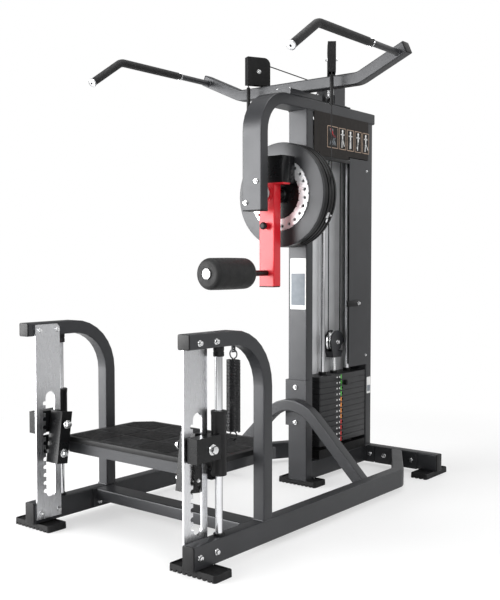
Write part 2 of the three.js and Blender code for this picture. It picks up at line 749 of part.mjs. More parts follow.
/** Fixed shaft between the hanging post and the tower, flanged at both ends. */
function pivotShaft() {
  const front = DROP_POST_Y + POST_DEPTH / 2;
  const rear = FRONT_POST_Y - POST_DEPTH / 2;
  return turned([
    [0, front], [FLANGE_R, front], [FLANGE_R, front + FLANGE_DEPTH], [SHAFT_R, front + FLANGE_DEPTH],
    [SHAFT_R, rear - FLANGE_DEPTH], [FLANGE_R, rear - FLANGE_DEPTH], [FLANGE_R, rear], [0, rear],
  ], 20);
}

/** Dished drum with three cable grooves round its rim. */
function camDisc() {
  const floor = CABLE_PITCH - CABLE_R - 1;
  const half = 4;
  const grooves = [-1, 0, 1].map((i) => CABLE_Y + i * GROOVE_PITCH).flatMap((y) => [
    [CAM_R, y - half], [floor, y - half], [floor, y + half], [CAM_R, y + half],
  ]);
  const bore = SHAFT_R + 0.5;
  return turned([
    [bore, HUB_Y[0]], [HUB_R, HUB_Y[0]], [HUB_R, WEB_Y[0]], [WEB_R, WEB_Y[0]], [WEB_R, CAM_FRONT],
    [CAM_R, CAM_FRONT], ...grooves, [CAM_R, CAM_REAR], [DRUM_R, CAM_REAR], [DRUM_R, WEB_Y[1]],
    [HUB_R, WEB_Y[1]], [HUB_R, HUB_Y[1]], [bore, HUB_Y[1]],
  ], 34);
}

function indexRing() {
  const shape = new THREE.Shape(circle(INDEX_RING_R[1], 36));
  shape.holes.push(new THREE.Path(circle(INDEX_RING_R[0], 36)));
  circle(INDEX_R, INDEX_COUNT).forEach(({ x, y }) => {
    shape.holes.push(new THREE.Path(circle(5.5, 6).map((point) => point.add(new THREE.Vector2(x, y)))));
  });
  const ring = new THREE.ExtrudeGeometry(shape, { depth: CAM_FRONT - RING_FRONT, bevelEnabled: false });
  return ring.rotateX(Math.PI / 2).translate(0, CAM_FRONT, 0);
}

/** Clamp that fixes a cable's end to the rim. */
function cableClamp() {
  const body = block(CAM_R + 0.7, CAM_R + 13, CABLE_Y - 8, CABLE_Y + 8, -13, 13);
  return body.rotateY(THREE.MathUtils.degToRad(CLAMP_DROP_DEG));
}

/** Red arm: a tube with a bearing boss on the hip axis and a boss for the index plunger. */
function swingArm() {
  const mid = (ARM_FRONT + ARM_REAR) / 2;
  const [from, to] = ARM_Z.map((z) => vec(0, mid, z));
  const tube = straightTube(from, to, X, ARM_WIDTH, ARM_REAR - ARM_FRONT);
  const hub = rod(vec(0, ARM_FRONT - 4, 0), vec(0, ARM_REAR + 4, 0), 32);
  const boss = rod(vec(0, ARM_FRONT - 8, -INDEX_R), vec(0, ARM_FRONT + 2, -INDEX_R), 14);
  const plateTop = COUNTER_Z[0] - GAP;
  const topPlate = block(-COUNTER_HALF, COUNTER_HALF, ARM_FRONT, ARM_REAR, plateTop - 6, plateTop);
  const bore = rod(vec(0, -300, 0), vec(0, -180, 0), SHAFT_R + 0.7);
  const pinBore = rod(vec(0, -300, -INDEX_R), vec(0, -180, -INDEX_R), PLUNGER_R + 0.7, 12);
  const vent = rod(vec(25, -240, 30), vec(25, -240, 60), 4, 8);
  return cut(join(tube, hub, boss, topPlate), bore, pinBore, vent);
}

function counterweight() {
  return block(-COUNTER_HALF, COUNTER_HALF, ARM_FRONT + 1, COUNTER_REAR, ...COUNTER_Z);
}

/** Index plunger: a pin with a pull knob, its tip just clear of the ring. */
function indexPlunger() {
  const knobFront = ARM_FRONT - 31;
  const pin = rod(vec(0, knobFront + 5, 0), vec(0, RING_FRONT - 0.6, 0), PLUNGER_R, 12);
  return join(pin, rod(vec(0, knobFront, 0), vec(0, knobFront + 19, 0), 16));
}

/** Axle of the roller, with the washer and cap that keep the roller on. */
function rollerAxle() {
  const bar = rod(vec(0, ROLLER_FRONT - 6, 0), vec(0, ARM_FRONT, 0), ROLLER_AXLE_R);
  const cap = rod(vec(0, ROLLER_FRONT - 8, 0), vec(0, ROLLER_FRONT - 0.6, 0), 21.5);
  const collar = rod(vec(0, ROLLER_REAR + 0.6, 0), vec(0, ROLLER_REAR + 8, 0), 20);
  return join(bar, cap, collar);
}

function rollerPad() {
  const round = 18;
  const bore = ROLLER_AXLE_R + 0.6;
  const ends = [0, 30, 60, 90].map((deg) => {
    const angle = THREE.MathUtils.degToRad(deg);
    return [ROLLER_R - round + round * Math.sin(angle), round - round * Math.cos(angle)];
  });
  return turned([
    [bore, ROLLER_FRONT], ...ends.map(([r, y]) => [r, ROLLER_FRONT + y]),
    ...ends.reverse().map(([r, y]) => [r, ROLLER_REAR - y]), [bore, ROLLER_REAR],
  ], 20);
}

// ---------------------------------------------------------------- crossbar and handles

/** Handle bar on its saddle plate; its ends rise as wings. */
function crossbar() {
  const rise = THREE.MathUtils.degToRad(WING_DEG);
  const bend = 80;
  const tangent = bend * Math.tan(rise / 2);
  const wing = (WING_END - BAR_STRAIGHT) / Math.cos(rise) - tangent;
  const start = vec(-WING_END, BAR_Y, BAR_Z + (WING_END - BAR_STRAIGHT) * Math.tan(rise));
  const run = new BentRun(start, vec(Math.cos(rise), 0, -Math.sin(rise)), Y)
    .ahead(wing)
    .turn(bend, -WING_DEG, 3)
    .ahead(2 * (BAR_STRAIGHT - tangent))
    .turn(bend, -WING_DEG, 3)
    .ahead(wing);
  const saddle = block(-48, 48, ...BAR_SADDLE_Y, BEAM_Z + TUBE, BAR_Z - TUBE / 2 + 1);
  return join(swept(tubeSection(TUBE, TUBE), run), saddle);
}

/** Centreline of a handle from a given y to its lower end. */
function handleRun(fromY) {
  const bend = 60;
  const tangent = bend * Math.tan(THREE.MathUtils.degToRad(GRIP_BEND_DEG / 2));
  return new BentRun(vec(HANDLE_X, fromY, HANDLE_Z), vec(0, -1, 0), X)
    .ahead(fromY - GRIP_BEND_Y - tangent)
    .turn(bend, GRIP_BEND_DEG, 4);
}

function handleTube() {
  const run = handleRun(BAR_Y - TUBE / 2 - GAP).ahead(GRIP_DROP - 20);
  const end = run.points.at(-1);
  const heading = run.headings.at(-1);
  const along = (distance) => end.clone().addScaledVector(heading, distance);
  const cap = rod(along(-4), along(4), 17.5, 12);
  const hole = rod(along(-12), along(12), 6, 12);
  const [from, to] = [GRIP_START + 12, GRIP_START + GAP].map((y) => vec(HANDLE_X, y, HANDLE_Z));
  const collar = rod(from, to, 18, 12);
  const solidCap = join(swept(ringSection(HANDLE_R, HANDLE_R - 2.5), run), cap);
  const bore = rod(vec(HANDLE_X, -200, HANDLE_Z), vec(HANDLE_X, -300, HANDLE_Z), HANDLE_R - 2.5, 12);
  return join(cut(solidCap, hole), cut(collar, bore));
}

function gripSleeve() {
  return swept(ringSection(GRIP_R, HANDLE_R + GAP), handleRun(GRIP_START).ahead(GRIP_DROP - 26));
}

// ---------------------------------------------------------------- step platform

/** Height rack: a plate with a long slot whose front edge is notched for the latch. */
function rackPlate() {
  const [y0, y1] = RACK_Y;
  const [z0, z1] = RACK_Z;
  const outline = new THREE.Shape();
  outline.moveTo(y0, z0);
  outline.lineTo(y1, z0);
  outline.lineTo(y1, z1 - 12);
  outline.lineTo(y1 - 12, z1);
  outline.lineTo(y0, z1);
  outline.closePath();
  const half = (SLOT_Y[1] - SLOT_Y[0]) / 2;
  const mid = (SLOT_Y[0] + SLOT_Y[1]) / 2;
  const slot = new THREE.Path();
  slot.absarc(mid, SLOT_Z[0] + half, half, 0, Math.PI, true);
  const mouth = Math.acos(4.5 / NOTCH_R);
  for (let z = LATCH_Z - 5 * NOTCH_PITCH; z < SLOT_Z[1] - half; z += NOTCH_PITCH) {
    slot.absarc(SLOT_Y[0] - 4.5, z, NOTCH_R, -mouth, mouth, true);
  }
  slot.absarc(mid, SLOT_Z[1] - half, half, Math.PI, 0, true);
  slot.closePath();
  outline.holes.push(slot);
  return plateAcrossX(outline, ...RACK_X);
}

/** Round guide with a rubber buffer at its top. */
function platformGuide() {
  const bottom = RAIL_TOP + GAP;
  const top = STEP_Z - TUBE / 2 - GAP;
  const [buffer, low] = [18, 690];
  return turnedUpright([
    [0, bottom], [GUIDE_R, bottom], [GUIDE_R, low], [buffer, low], [buffer, top], [0, top],
  ], 16);
}

/** Welded platform frame: pan, side brackets, guide sleeves, carriage blocks and spring ear. */
function platformFrame() {
  const half = DECK_HALF - 20;
  const [y0, y1] = [DECK_Y[0] + 10, DECK_Y[1] - 15];
  const rib = 6;
  const pockets = [-1, 0, 1].map((i) => block(
    (i * 2 - 1) * (half / 3) + rib, (i * 2 + 1) * (half / 3) - rib,
    y0 + rib, y1 - rib, PAN_Z[0] - 8, PAN_Z[1] - 5));
  const pan = cut(block(-half, half, y0, y1, ...PAN_Z), ...pockets);
  const bracket = block(half - 1, SIDE_X - 15, GUIDE_Y - 18, GUIDE_Y + 18, PAN_Z[0] + 6, PAN_Z[1]);
  const sleeve = rod(vec(SIDE_X, GUIDE_Y, SLEEVE_Z[0]), vec(SIDE_X, GUIDE_Y, SLEEVE_Z[1]), SLEEVE_R);
  const carriage = block(379, 421, -1170, -1052, 358, 438.5);
  const pivot = rod(vec(290, LEVER_Y, LEVER_Z), vec(380, LEVER_Y, LEVER_Z), 6, 12);
  const head = rod(vec(287, LEVER_Y, LEVER_Z), vec(293, LEVER_Y, LEVER_Z), 11, 12);
  const sides = join(bracket, sleeve, carriage, pivot, head);
  const bored = cut(sides, rod(vec(SIDE_X, GUIDE_Y, 270), vec(SIDE_X, GUIDE_Y, 530), SLEEVE_BORE));
  const ear = springEar(GUIDE_Y + SLEEVE_R - 3, HOOK_Z[0] - 17, HOOK_Z[0] + 9, HOOK_Z[0]);
  return join(pan, bored, mirrored(bored), ear);
}

/** Anti-slip cover with its rear corners cut off. */
function platformCover() {
  const corner = 60;
  const shape = new THREE.Shape();
  shape.moveTo(-DECK_HALF, DECK_Y[0]);
  shape.lineTo(DECK_HALF, DECK_Y[0]);
  shape.lineTo(DECK_HALF, DECK_Y[1] - corner);
  shape.lineTo(DECK_HALF - corner, DECK_Y[1]);
  shape.lineTo(-DECK_HALF + corner, DECK_Y[1]);
  shape.lineTo(-DECK_HALF, DECK_Y[1] - corner);
  shape.closePath();
  const bottom = PAN_Z[1] + GAP;
  const depth = DECK_TOP - bottom;
  return new THREE.ExtrudeGeometry(shape, { depth, bevelEnabled: false }).translate(0, 0, bottom);
}

/** Release lever about its pivot: a tilted channel with the latch pin and its outer dog. */
function releaseLever() {
  const web = block(298, 364, -18.9, -14.9, -147, 47);
  const inner = block(298, 302, -18.9, 29, -147, 47);
  const outer = block(360, 364, -18.9, 29, -147, 47);
  const channel = join(web, inner, outer).rotateX(THREE.MathUtils.degToRad(-LEVER_TILT));
  const y = LATCH_Y - LEVER_Y;
  const z = LATCH_Z - LEVER_Z;
  const pin = rod(vec(361, y, z), vec(386, y, z), 7, 12);
  const dog = block(379.5, 386, y - 14, y + 13, z - 12, z + 58);
  const bore = rod(vec(280, 0, 0), vec(370, 0, 0), 6.6, 12);
  return cut(join(channel, pin, dog), bore);
}

/** End loop of the spring: up from one side of the barrel, over its eye and down the other side. */
function springLoop(barrelEnd, hook) {
  const up = Math.sign(hook - barrelEnd);
  const radius = 14;
  const leg = Math.abs(hook - barrelEnd) - radius + 6;
  const start = vec(SIDE_X - radius, SPRING_Y, hook - up * (radius + leg));
  const run = new BentRun(start, vec(0, 0, up), Y).ahead(leg).turn(radius, up * 180, 8).ahead(leg);
  return swept(ringSection(WIRE_R, 0, 8), run);
}

/** Tension spring: closed coils drawn as a barrel, with a loop at each end. */
function liftSpring() {
  const [low, high] = SPRING_Z;
  const bore = 11;
  const barrel = turnedUpright([[bore, low], [SPRING_R, low], [SPRING_R, high], [bore, high]], 20);
  const coils = barrel.translate(SIDE_X, SPRING_Y, 0);
  return join(coils, springLoop(low, HOOK_Z[0]), springLoop(high, HOOK_Z[1]));
}

// ---------------------------------------------------------------- assembly

addFeet();
const upperEar = springEar(SPRING_Y - 9, HOOK_Z[1] - 9, STEP_Z - TUBE / 2 + 1, HOOK_Z[1]);
add('side_frame_right', join(sideFrame(), upperEar), charcoal);
add('side_frame_left', mirrored(sideFrame()), charcoal);
add('front_cross_tube', frontCrossTube(), charcoal);
add('rear_cross_tube', rearCrossTube(), charcoal);
add('base_beam', baseBeam(), charcoal);
add('arch_brace', archBrace(), charcoal);

add('tower_front_post', towerPost(FRONT_POST_Y, SOLE), charcoal);
add('tower_rear_post', towerPost(REAR_POST_Y, RAIL_TOP), charcoal);
add('top_beam', topBeam(), charcoal);
add('shroud_panel', shroudPanel(), panel);
add('cover_panel', coverPanel(), charcoal);
add('chart_placard', chartPlacard(), black);

ROD_YS.forEach((y, i) => {
  const guide = add(['stack_rod_front', 'stack_rod_rear'][i], stackGuideRod(), chrome);
  guide.position.y = y;
});
add('stack_base', stackBase(), rubber);
add('weight_plates', lowerPlates(), iron);
const stack = subgroup(0, 0, 0);
add('lifted_plate', liftedPlate(), iron, stack);
add('head_plate', headPlate(), iron, stack);
add('selector_pin', selectorPin(), black, subgroup(0, LIFT_Y, PIN_Z, stack));
add('lift_carrier', liftCarrier(), charcoal, stack);
const liftWheel = add('lift_pulley', pulley(LIFT_PULLEY_R, 20, AXLE_R + GAP), brushed, stack);
liftWheel.position.set(0, LIFT_Y, LIFT_PULLEY_Z);
liftWheel.rotation.z = Math.PI / 2;
add('lift_cable', liftCable(), rubber);
addPulleys();
add('pulley_post', pulleyPost(), charcoal);

add('crossbar', crossbar(), charcoal);
addPair('handle_tube', handleTube(), charcoal);
addPair('handle_grip', gripSleeve(), foam);

const hip = subgroup(0, 0, PIVOT_Z);
add('pivot_shaft', pivotShaft(), brushed, hip);
add('cam_disc', camDisc(), charcoal, hip);
add('index_ring', indexRing(), chrome, hip);
addPair('cable_clamp', cableClamp(), brushed, hip);
const arm = subgroup(0, 0, 0, hip);
add('swing_arm', swingArm(), red, arm);
add('counterweight', counterweight(), black, arm);
add('index_plunger', indexPlunger(), black, subgroup(0, 0, -INDEX_R, arm));
const rollerGroup = subgroup(0, 0, -AXLE_DROP, arm);
add('roller_axle', rollerAxle(), chrome, rollerGroup);
add('roller_pad', rollerPad(), foam, rollerGroup);

addPair('rack_plate', rackPlate(), brushed);
const guides = platformGuide().translate(SIDE_X, GUIDE_Y, 0);
addPair('platform_guide', guides, chrome);
const platform = subgroup(0, 0, 0);
add('platform_frame', platformFrame(), charcoal, platform);
add('platform_cover', platformCover(), rubber, platform);
addPair('release_lever', releaseLever(), charcoal, subgroup(0, LEVER_Y, LEVER_Z, platform));
add('lift_spring', liftSpring(), black);

export default group;
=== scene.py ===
"""Looks of a standing hip and glute machine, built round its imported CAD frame.

Everything is in metres in the row frame: +X is the machine's right, +Y runs from the step
frames to the weight tower and +Z is up. Places come from the frame's boxes and joints.
"""

import json
import math

import bmesh
import bpy
from mathutils import Matrix, Vector


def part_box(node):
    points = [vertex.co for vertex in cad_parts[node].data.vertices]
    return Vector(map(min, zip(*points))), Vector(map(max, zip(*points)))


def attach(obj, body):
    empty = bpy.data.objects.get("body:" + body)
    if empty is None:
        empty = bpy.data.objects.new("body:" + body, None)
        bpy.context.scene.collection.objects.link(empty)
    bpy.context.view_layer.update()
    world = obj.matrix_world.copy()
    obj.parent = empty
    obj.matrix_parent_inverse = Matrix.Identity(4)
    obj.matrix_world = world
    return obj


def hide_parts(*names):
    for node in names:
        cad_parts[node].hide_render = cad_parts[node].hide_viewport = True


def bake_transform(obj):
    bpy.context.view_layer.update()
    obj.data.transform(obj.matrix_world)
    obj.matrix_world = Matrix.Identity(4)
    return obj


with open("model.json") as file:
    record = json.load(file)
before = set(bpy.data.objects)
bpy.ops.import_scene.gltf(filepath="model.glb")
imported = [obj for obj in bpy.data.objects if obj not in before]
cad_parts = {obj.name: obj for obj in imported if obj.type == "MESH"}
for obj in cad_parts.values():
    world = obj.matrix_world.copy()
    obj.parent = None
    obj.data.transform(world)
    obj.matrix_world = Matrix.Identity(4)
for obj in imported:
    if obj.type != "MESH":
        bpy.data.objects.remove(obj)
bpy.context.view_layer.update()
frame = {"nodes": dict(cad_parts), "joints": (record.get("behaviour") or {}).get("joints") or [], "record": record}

X = Vector((1, 0, 0))
Y = Vector((0, 1, 0))
Z = Vector((0, 0, 1))
TURN = 2 * math.pi
SIDES = (("right", 1), ("left", -1))
JOINTS = {joint["name"]: joint for joint in frame["joints"]}

# ------------------------------------------------------------------ shapes


def arc(centre, radius, start, end, steps):
    """Points of a plane arc between two angles in degrees."""
    angles = [math.radians(start + (end - start) * i / steps) for i in range(steps + 1)]
    return [(centre[0] + radius * math.cos(a), centre[1] + radius * math.sin(a)) for a in angles]


def rounded_rect(width, height, radius, steps=4):
    """Anticlockwise outline of a rectangle with round corners, centred on the origin."""
    x, y = width / 2 - radius, height / 2 - radius
    corners = [(x, y), (-x, y), (-x, -y), (x, -y)]
    return [p for i, c in enumerate(corners) for p in arc(c, radius, 90 * i, 90 * i + 90, steps)]


def inset(outline, distance):
    """An anticlockwise outline moved inwards by a distance."""
    points = [Vector(p) for p in outline]
    moved = []
    for i, point in enumerate(points):
        before = (point - points[i - 1]).normalized()
        after = (points[(i + 1) % len(points)] - point).normalized()
        inward = Vector((-before.y - after.y, before.x + after.x))
        moved.append(point + inward * distance / (1 + before.dot(after)))
    return moved


class Run:
    """Centreline that goes straight and turns about its side axis, as a bent tube does."""

    def __init__(self, start, heading, side):
        self.side = Vector(side).normalized()
        self.stops = [(Vector(start), Vector(heading).normalized())]

    def ahead(self, length, steps=1):
        for _ in range(steps):
            point, heading = self.stops[-1]
            self.stops.append((point + heading * length / steps, heading))
        return self

    def turn(self, radius, degrees, steps=14):
        point, heading = self.stops[-1]
        centre = point + self.side.cross(heading) * math.copysign(radius, degrees)
        for i in range(1, steps + 1):
            spin = Matrix.Rotation(math.radians(degrees * i / steps), 3, self.side)
            self.stops.append((centre + spin @ (point - centre), spin @ heading))
        return self


class Form:
    """Closed shapes gathered into one mesh."""

    def __init__(self):
        self.points = []
        self.faces = []

    def skin(self, rings, loop=False):
        """Skins a stack of equal rings; its ends are capped unless the stack closes on itself."""
        first, count = len(self.points), len(rings[0])
        self.points += [Vector(p) for ring in rings for p in ring]
        for i in range(len(rings) if loop else len(rings) - 1):
            a, b = first + i * count, first + (i + 1) % len(rings) * count
            for j in range(count):
                k = (j + 1) % count
                self.faces.append((a + j, a + k, b + k, b + j))
        if not loop:
            last = len(self.points) - count
            self.faces.append(tuple(reversed(range(first, first + count))))
            self.faces.append(tuple(range(last, last + count)))
        return self

    def lathe(self, profile, origin=(0, 0, 0), axis=Y, count=48, loop=False):
        """Solid of revolution from (radius, distance along the axis) points."""
        axis = Vector(axis).normalized()
        across = (X if abs(axis.x) < 0.9 else Z).cross(axis).normalized()
        spokes = [Matrix.Rotation(TURN * i / count, 3, axis) @ across for i in range(count)]
        base = Vector(origin)
        rings = [[base + axis * h + spoke * max(r, 0) for spoke in spokes] for r, h in profile]
        return self.skin(rings, loop)

    def rod(self, radius, start, end, origin, axis, count):
        """Plain cylinder between two distances along an axis."""
        return self.lathe([(0, start), (radius, start), (radius, end), (0, end)], origin, axis, count)

    def sweep(self, run, section):
        """Section points are (along the run's side axis, along side x heading)."""
        rings = []
        for point, heading in run.stops:
            up = run.side.cross(heading)
            rings.append([point + run.side * a + up * b for a, b in section])
        return self.skin(rings)

    def prism(self, outline, origin, u, v, depth, edge=0.001, steps=2):
        """Anticlockwise outline in the (u, v) plane, thickened along u x v, with rounded edges."""
        u, v, origin = Vector(u), Vector(v), Vector(origin)
        w = u.cross(v)
        turns = [math.pi / 2 * i / steps for i in range(steps + 1)]
        layers = [(edge * (1 - math.sin(t)), edge * (1 - math.cos(t))) for t in turns]
        layers += [(inward, depth - height) for inward, height in reversed(layers)]
        rings = [[origin + u * a + v * b + w * h for a, b in inset(outline, s)] for s, h in layers]
        return self.skin(rings)

    def slab(self, low, high, edge=0.001, corner=0.001):
        """Block between two corners with rounded edges."""
        low, high = Vector(low), Vector(high)
        size, mid = high - low, (low + high) / 2
        outline = rounded_rect(size.x, size.y, max(corner, edge * 1.05), 3)
        return self.prism(outline, (mid.x, mid.y, low.z), X, Y, size.z, edge)

    def piece(self, name, material, body="frame", replaces=(), ride=True, sharp=38):
        """Makes the mesh object, with its finish, its body and the CAD nodes it stands for."""
        mesh = bpy.data.meshes.new(name)
        shape = bmesh.new()
        corners = [shape.verts.new(p) for p in self.points]
        for face in self.faces:
            shape.faces.new([corners[i] for i in face])
        bmesh.ops.remove_doubles(shape, verts=shape.verts, dist=2e-6)
        bmesh.ops.dissolve_degenerate(shape, edges=shape.edges, dist=1e-7)
        bmesh.ops.recalc_face_normals(shape, faces=shape.faces)
        shape.to_mesh(mesh)
        shape.free()
        mesh.shade_smooth()
        mesh.set_sharp_from_angle(angle=math.radians(sharp))
        thing = bpy.data.objects.new(name, mesh)
        bpy.context.scene.collection.objects.link(thing)
        mesh.materials.append(FINISHES[material])
        if ride:
            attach(thing, body)
        if replaces:
            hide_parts(*replaces)
        return thing


def carve(thing, *cutters):
    """Cuts closed forms out of a piece."""
    for cutter in cutters:
        tool = cutter.piece("tool", "black_paint", ride=False)
        cut = thing.modifiers.new("cut", "BOOLEAN")
        cut.object = tool
        cut.solver = "EXACT"
        result = thing.evaluated_get(bpy.context.evaluated_depsgraph_get())
        carved = bpy.data.meshes.new_from_object(result)
        thing.modifiers.clear()
        carved.name = thing.data.name
        thing.data = carved
        bpy.data.objects.remove(tool)
    thing.data.shade_smooth()
    thing.data.set_sharp_from_angle(angle=math.radians(30))


def circle(radius, count):
    """Points of a full circle, anticlockwise from the first axis."""
    return arc((0, 0), radius, 0, 360, count)[:-1]


def hoop(point, u, v, radius, count):
    """Ring of points round a place, in the plane of two directions."""
    return [point + u * a * radius + v * b * radius for a, b in circle(1, count)]


def mirrored(profile):
    """A profile followed by its own reflection, far side last."""
    return profile + [(radius, -along) for radius, along in reversed(profile)]


def bolt(form, at, axis, size):
    """Hexagon head on a washer; size is the washer's radius."""
    axis = Vector(axis).normalized()
    washer = [(0, 0), (size, 0), (size, size * 0.16), (size * 0.94, size * 0.22), (0, size * 0.22)]
    form.lathe(washer, at, axis, 28)
    u = axis.orthogonal().normalized()
    v = axis.cross(u)
    flat = size * 0.66
    corner, points = math.pi / 6, 24
    rings = []
    for reach, height in ((1.13, 0.2), (1.13, 0.78), (1.0, 0.9), (0.75, 0.94)):
        ring = []
        for i in range(points):
            turn = TURN * i / points
            hexagon = flat / math.cos((turn + corner) % (2 * corner) - corner)
            spoke = u * math.cos(turn) + v * math.sin(turn)
            ring.append(Vector(at) + axis * size * height + spoke * min(hexagon, flat * reach))
        rings.append(ring)
    form.skin(rings)


def plug(form, centre, out, up, width, height):
    """Moulded end cap of a rectangular tube; width lies along up x out."""
    out, up = Vector(out).normalized(), Vector(up).normalized()
    outline = rounded_rect(width - 0.0006, height - 0.0006, 0.006, 4)
    form.prism(outline, Vector(centre) + out * SEAT, up.cross(out), up, 0.0045, 0.0018, 3)


def weld(form, corners, radius, pitch=0.0035):
    """Bead of weld with fine ripples round a closed outline of corners."""
    rings = []
    for i, corner in enumerate(corners):
        start, end = Vector(corner), Vector(corners[(i + 1) % len(corners)])
        along = end - start
        steps = max(3, round(along.length / pitch) * 2)
        heading = along.normalized()
        side = heading.orthogonal().normalized()
        up = heading.cross(side)
        for j in range(steps):
            size = radius * (1.12 if j % 2 else 0.9)
            point = start + along * j / steps
            rings.append(hoop(point, side, up, size, 8))
    form.skin(rings, loop=True)


# ------------------------------------------------------------------ finishes


FINISHES = {}


class Finish:
    """Material whose colour, roughness and relief come from nodes, in object space."""

    def __init__(self, name, colour, roughness, metallic=0.0, specular=0.5):
        self.name = name
        self.material = bpy.data.materials.new(name)
        self.material.use_nodes = True
        self.nodes = self.material.node_tree.nodes
        self.links = self.material.node_tree.links
        self.surface = self.nodes["Principled BSDF"]
        self.surface.inputs["Metallic"].default_value = metallic
        self.surface.inputs["Specular IOR Level"].default_value = specular
        self.place = self.nodes.new("ShaderNodeTexCoord").outputs["Object"]
        self.colour = self.flat(colour)
        self.roughness = self.number(roughness)
        self.normal = None

    def node(self, kind, **settings):
        made = self.nodes.new(kind)
        for key, value in settings.items():
            setattr(made, key, value)
        return made

    def flat(self, colour):
        made = self.node("ShaderNodeRGB")
        made.outputs[0].default_value = (*colour, 1)
        return made.outputs[0]

    def number(self, value):
        made = self.node("ShaderNodeValue")
        made.outputs[0].default_value = value
        return made.outputs[0]

    def stretched(self, scale):
        made = self.node("ShaderNodeMapping")
        made.inputs["Scale"].default_value = scale
        self.links.new(self.place, made.inputs["Vector"])
        return made.outputs[0]

    def noise(self, scale, detail=3, stretch=(1, 1, 1)):
        made = self.node("ShaderNodeTexNoise")
        made.inputs["Scale"].default_value = scale
        made.inputs["Detail"].default_value = detail
        self.links.new(self.stretched(stretch), made.inputs["Vector"])
        return made.outputs["Fac"]

    def cells(self, scale):
        made = self.node("ShaderNodeTexVoronoi")
        made.inputs["Scale"].default_value = scale
        self.links.new(self.place, made.inputs["Vector"])
        return made.outputs["Distance"]

    def span(self, value, low, high, out_low=0.0, out_high=1.0):
        """Maps a value from one span to another and holds it there."""
        made = self.node("ShaderNodeMapRange", clamp=True)
        limits = {"From Min": low, "From Max": high, "To Min": out_low, "To Max": out_high}
        for key, number in limits.items():
            made.inputs[key].default_value = number
        self.links.new(value, made.inputs["Value"])
        return made.outputs[0]

    def maths(self, operation, a, b):
        made = self.node("ShaderNodeMath", operation=operation)
        for socket, value in zip(made.inputs, (a, b)):
            if isinstance(value, (int, float)):
                socket.default_value = value
            else:
                self.links.new(value, socket)
        return made.outputs[0]

    def tint(self, share, colour):
        """Mixes a colour over what is there, by a share that comes from nodes."""
        made = self.node("ShaderNodeMix", data_type="RGBA")
        self.links.new(share, made.inputs[0])
        self.links.new(self.colour, made.inputs[6])
        made.inputs[7].default_value = (*colour, 1)
        self.colour = made.outputs[2]
        return self

    def rough(self, share, value):
        """Moves the roughness towards a value by a share that comes from nodes."""
        made = self.node("ShaderNodeMix", data_type="FLOAT")
        self.links.new(share, made.inputs[0])
        self.links.new(self.roughness, made.inputs[2])
        made.inputs[3].default_value = value
        self.roughness = made.outputs[0]
        return self

    def relief(self, height, depth, strength=1.0):
        """Adds bumps; depth is their height in metres."""
        made = self.node("ShaderNodeBump")
        made.inputs["Distance"].default_value = depth
        made.inputs["Strength"].default_value = strength
        self.links.new(height, made.inputs["Height"])
        if self.normal is not None:
            self.links.new(self.normal, made.inputs["Normal"])
        self.normal = made.outputs[0]
        return self

    def edges(self, radius):
        """Share that is high along sharp edges, broken up by noise."""
        bevel = self.node("ShaderNodeBevel", samples=4)
        bevel.inputs["Radius"].default_value = radius
        flat = self.node("ShaderNodeNewGeometry").outputs["Normal"]
        dot = self.node("ShaderNodeVectorMath", operation="DOT_PRODUCT")
        self.links.new(bevel.outputs[0], dot.inputs[0])
        self.links.new(flat, dot.inputs[1])
        sharp = self.span(dot.outputs["Value"], 0.995, 0.86)
        return self.maths("MULTIPLY", sharp, self.span(self.noise(60, 4), 0.42, 0.62))

    def facing(self):
        """Share that grows where the surface turns away from the eye."""
        return self.node("ShaderNodeLayerWeight").outputs["Facing"]

    def done(self):
        """Joins the mixes to the surface and files the material under its name."""
        self.links.new(self.colour, self.surface.inputs["Base Color"])
        self.links.new(self.roughness, self.surface.inputs["Roughness"])
        if self.normal is not None:
            self.links.new(self.normal, self.surface.inputs["Normal"])
        FINISHES[self.name] = self.material


def powder_coat(name, colour, light, roughness, metallic, sparkle, specular=0.42):
    """Baked powder paint: orange peel, fine metallic fleck, soft cloudiness, and paler edges that are part edge
    wear and part painted highlight.
    """
    coat = Finish(name, colour, roughness, metallic, specular)
    coat.tint(coat.span(coat.noise(7, 3), 0.35, 0.7, 0.0, 0.35), light)
    coat.tint(coat.span(coat.cells(2600), 0.08, 0.0, 0.0, sparkle), [min(1, c * 2.4) for c in light])
    # Paler edges: part edge wear, part painted highlight along the tube and plate edges.
    coat.tint(coat.maths("MULTIPLY", coat.edges(0.0016), 0.6), [min(1, c * 2.8) for c in light])
    coat.rough(coat.span(coat.noise(22, 4), 0.3, 0.75, 0.0, 0.5), roughness + 0.1)
    coat.relief(coat.noise(850, 2), 0.00012, 0.5)
    coat.done()


def bright_metal(name, colour, roughness, brushed, stretch=(1, 1, 1), scale=500,
                 metallic=1.0, stain=0.3, painted_flank_reflection=0.0):
    """Plated or brushed steel with hairlines, smudges, a little tarnish, and flanks darkened as a painted
    reflection where the surface turns away from the eye.
    """
    metal = Finish(name, colour, roughness, metallic)
    grain = metal.noise(scale, 4, stretch)
    # Painted dark reflection: the flanks are darkened where the surface turns away from the eye.
    if painted_flank_reflection:
        metal.tint(metal.span(metal.facing(), 0.3, 0.75, 0.0, painted_flank_reflection), [c * 0.08 for c in colour])
    metal.tint(metal.span(metal.noise(14, 3), 0.4, 0.8, 0.0, stain), [c * 0.72 for c in colour])
    metal.tint(metal.span(grain, 0.3, 0.7, 0.0, 0.22 * brushed), [c * 0.6 for c in colour])
    metal.rough(metal.span(metal.noise(30, 4), 0.4, 0.8, 0.0, 2 * stain), roughness + 0.18)
    metal.rough(metal.span(grain, 0.35, 0.65, 0.0, 0.5 * brushed), roughness + 0.2)
    metal.relief(grain, 0.00006, 0.25 + 0.5 * brushed)
    metal.done()


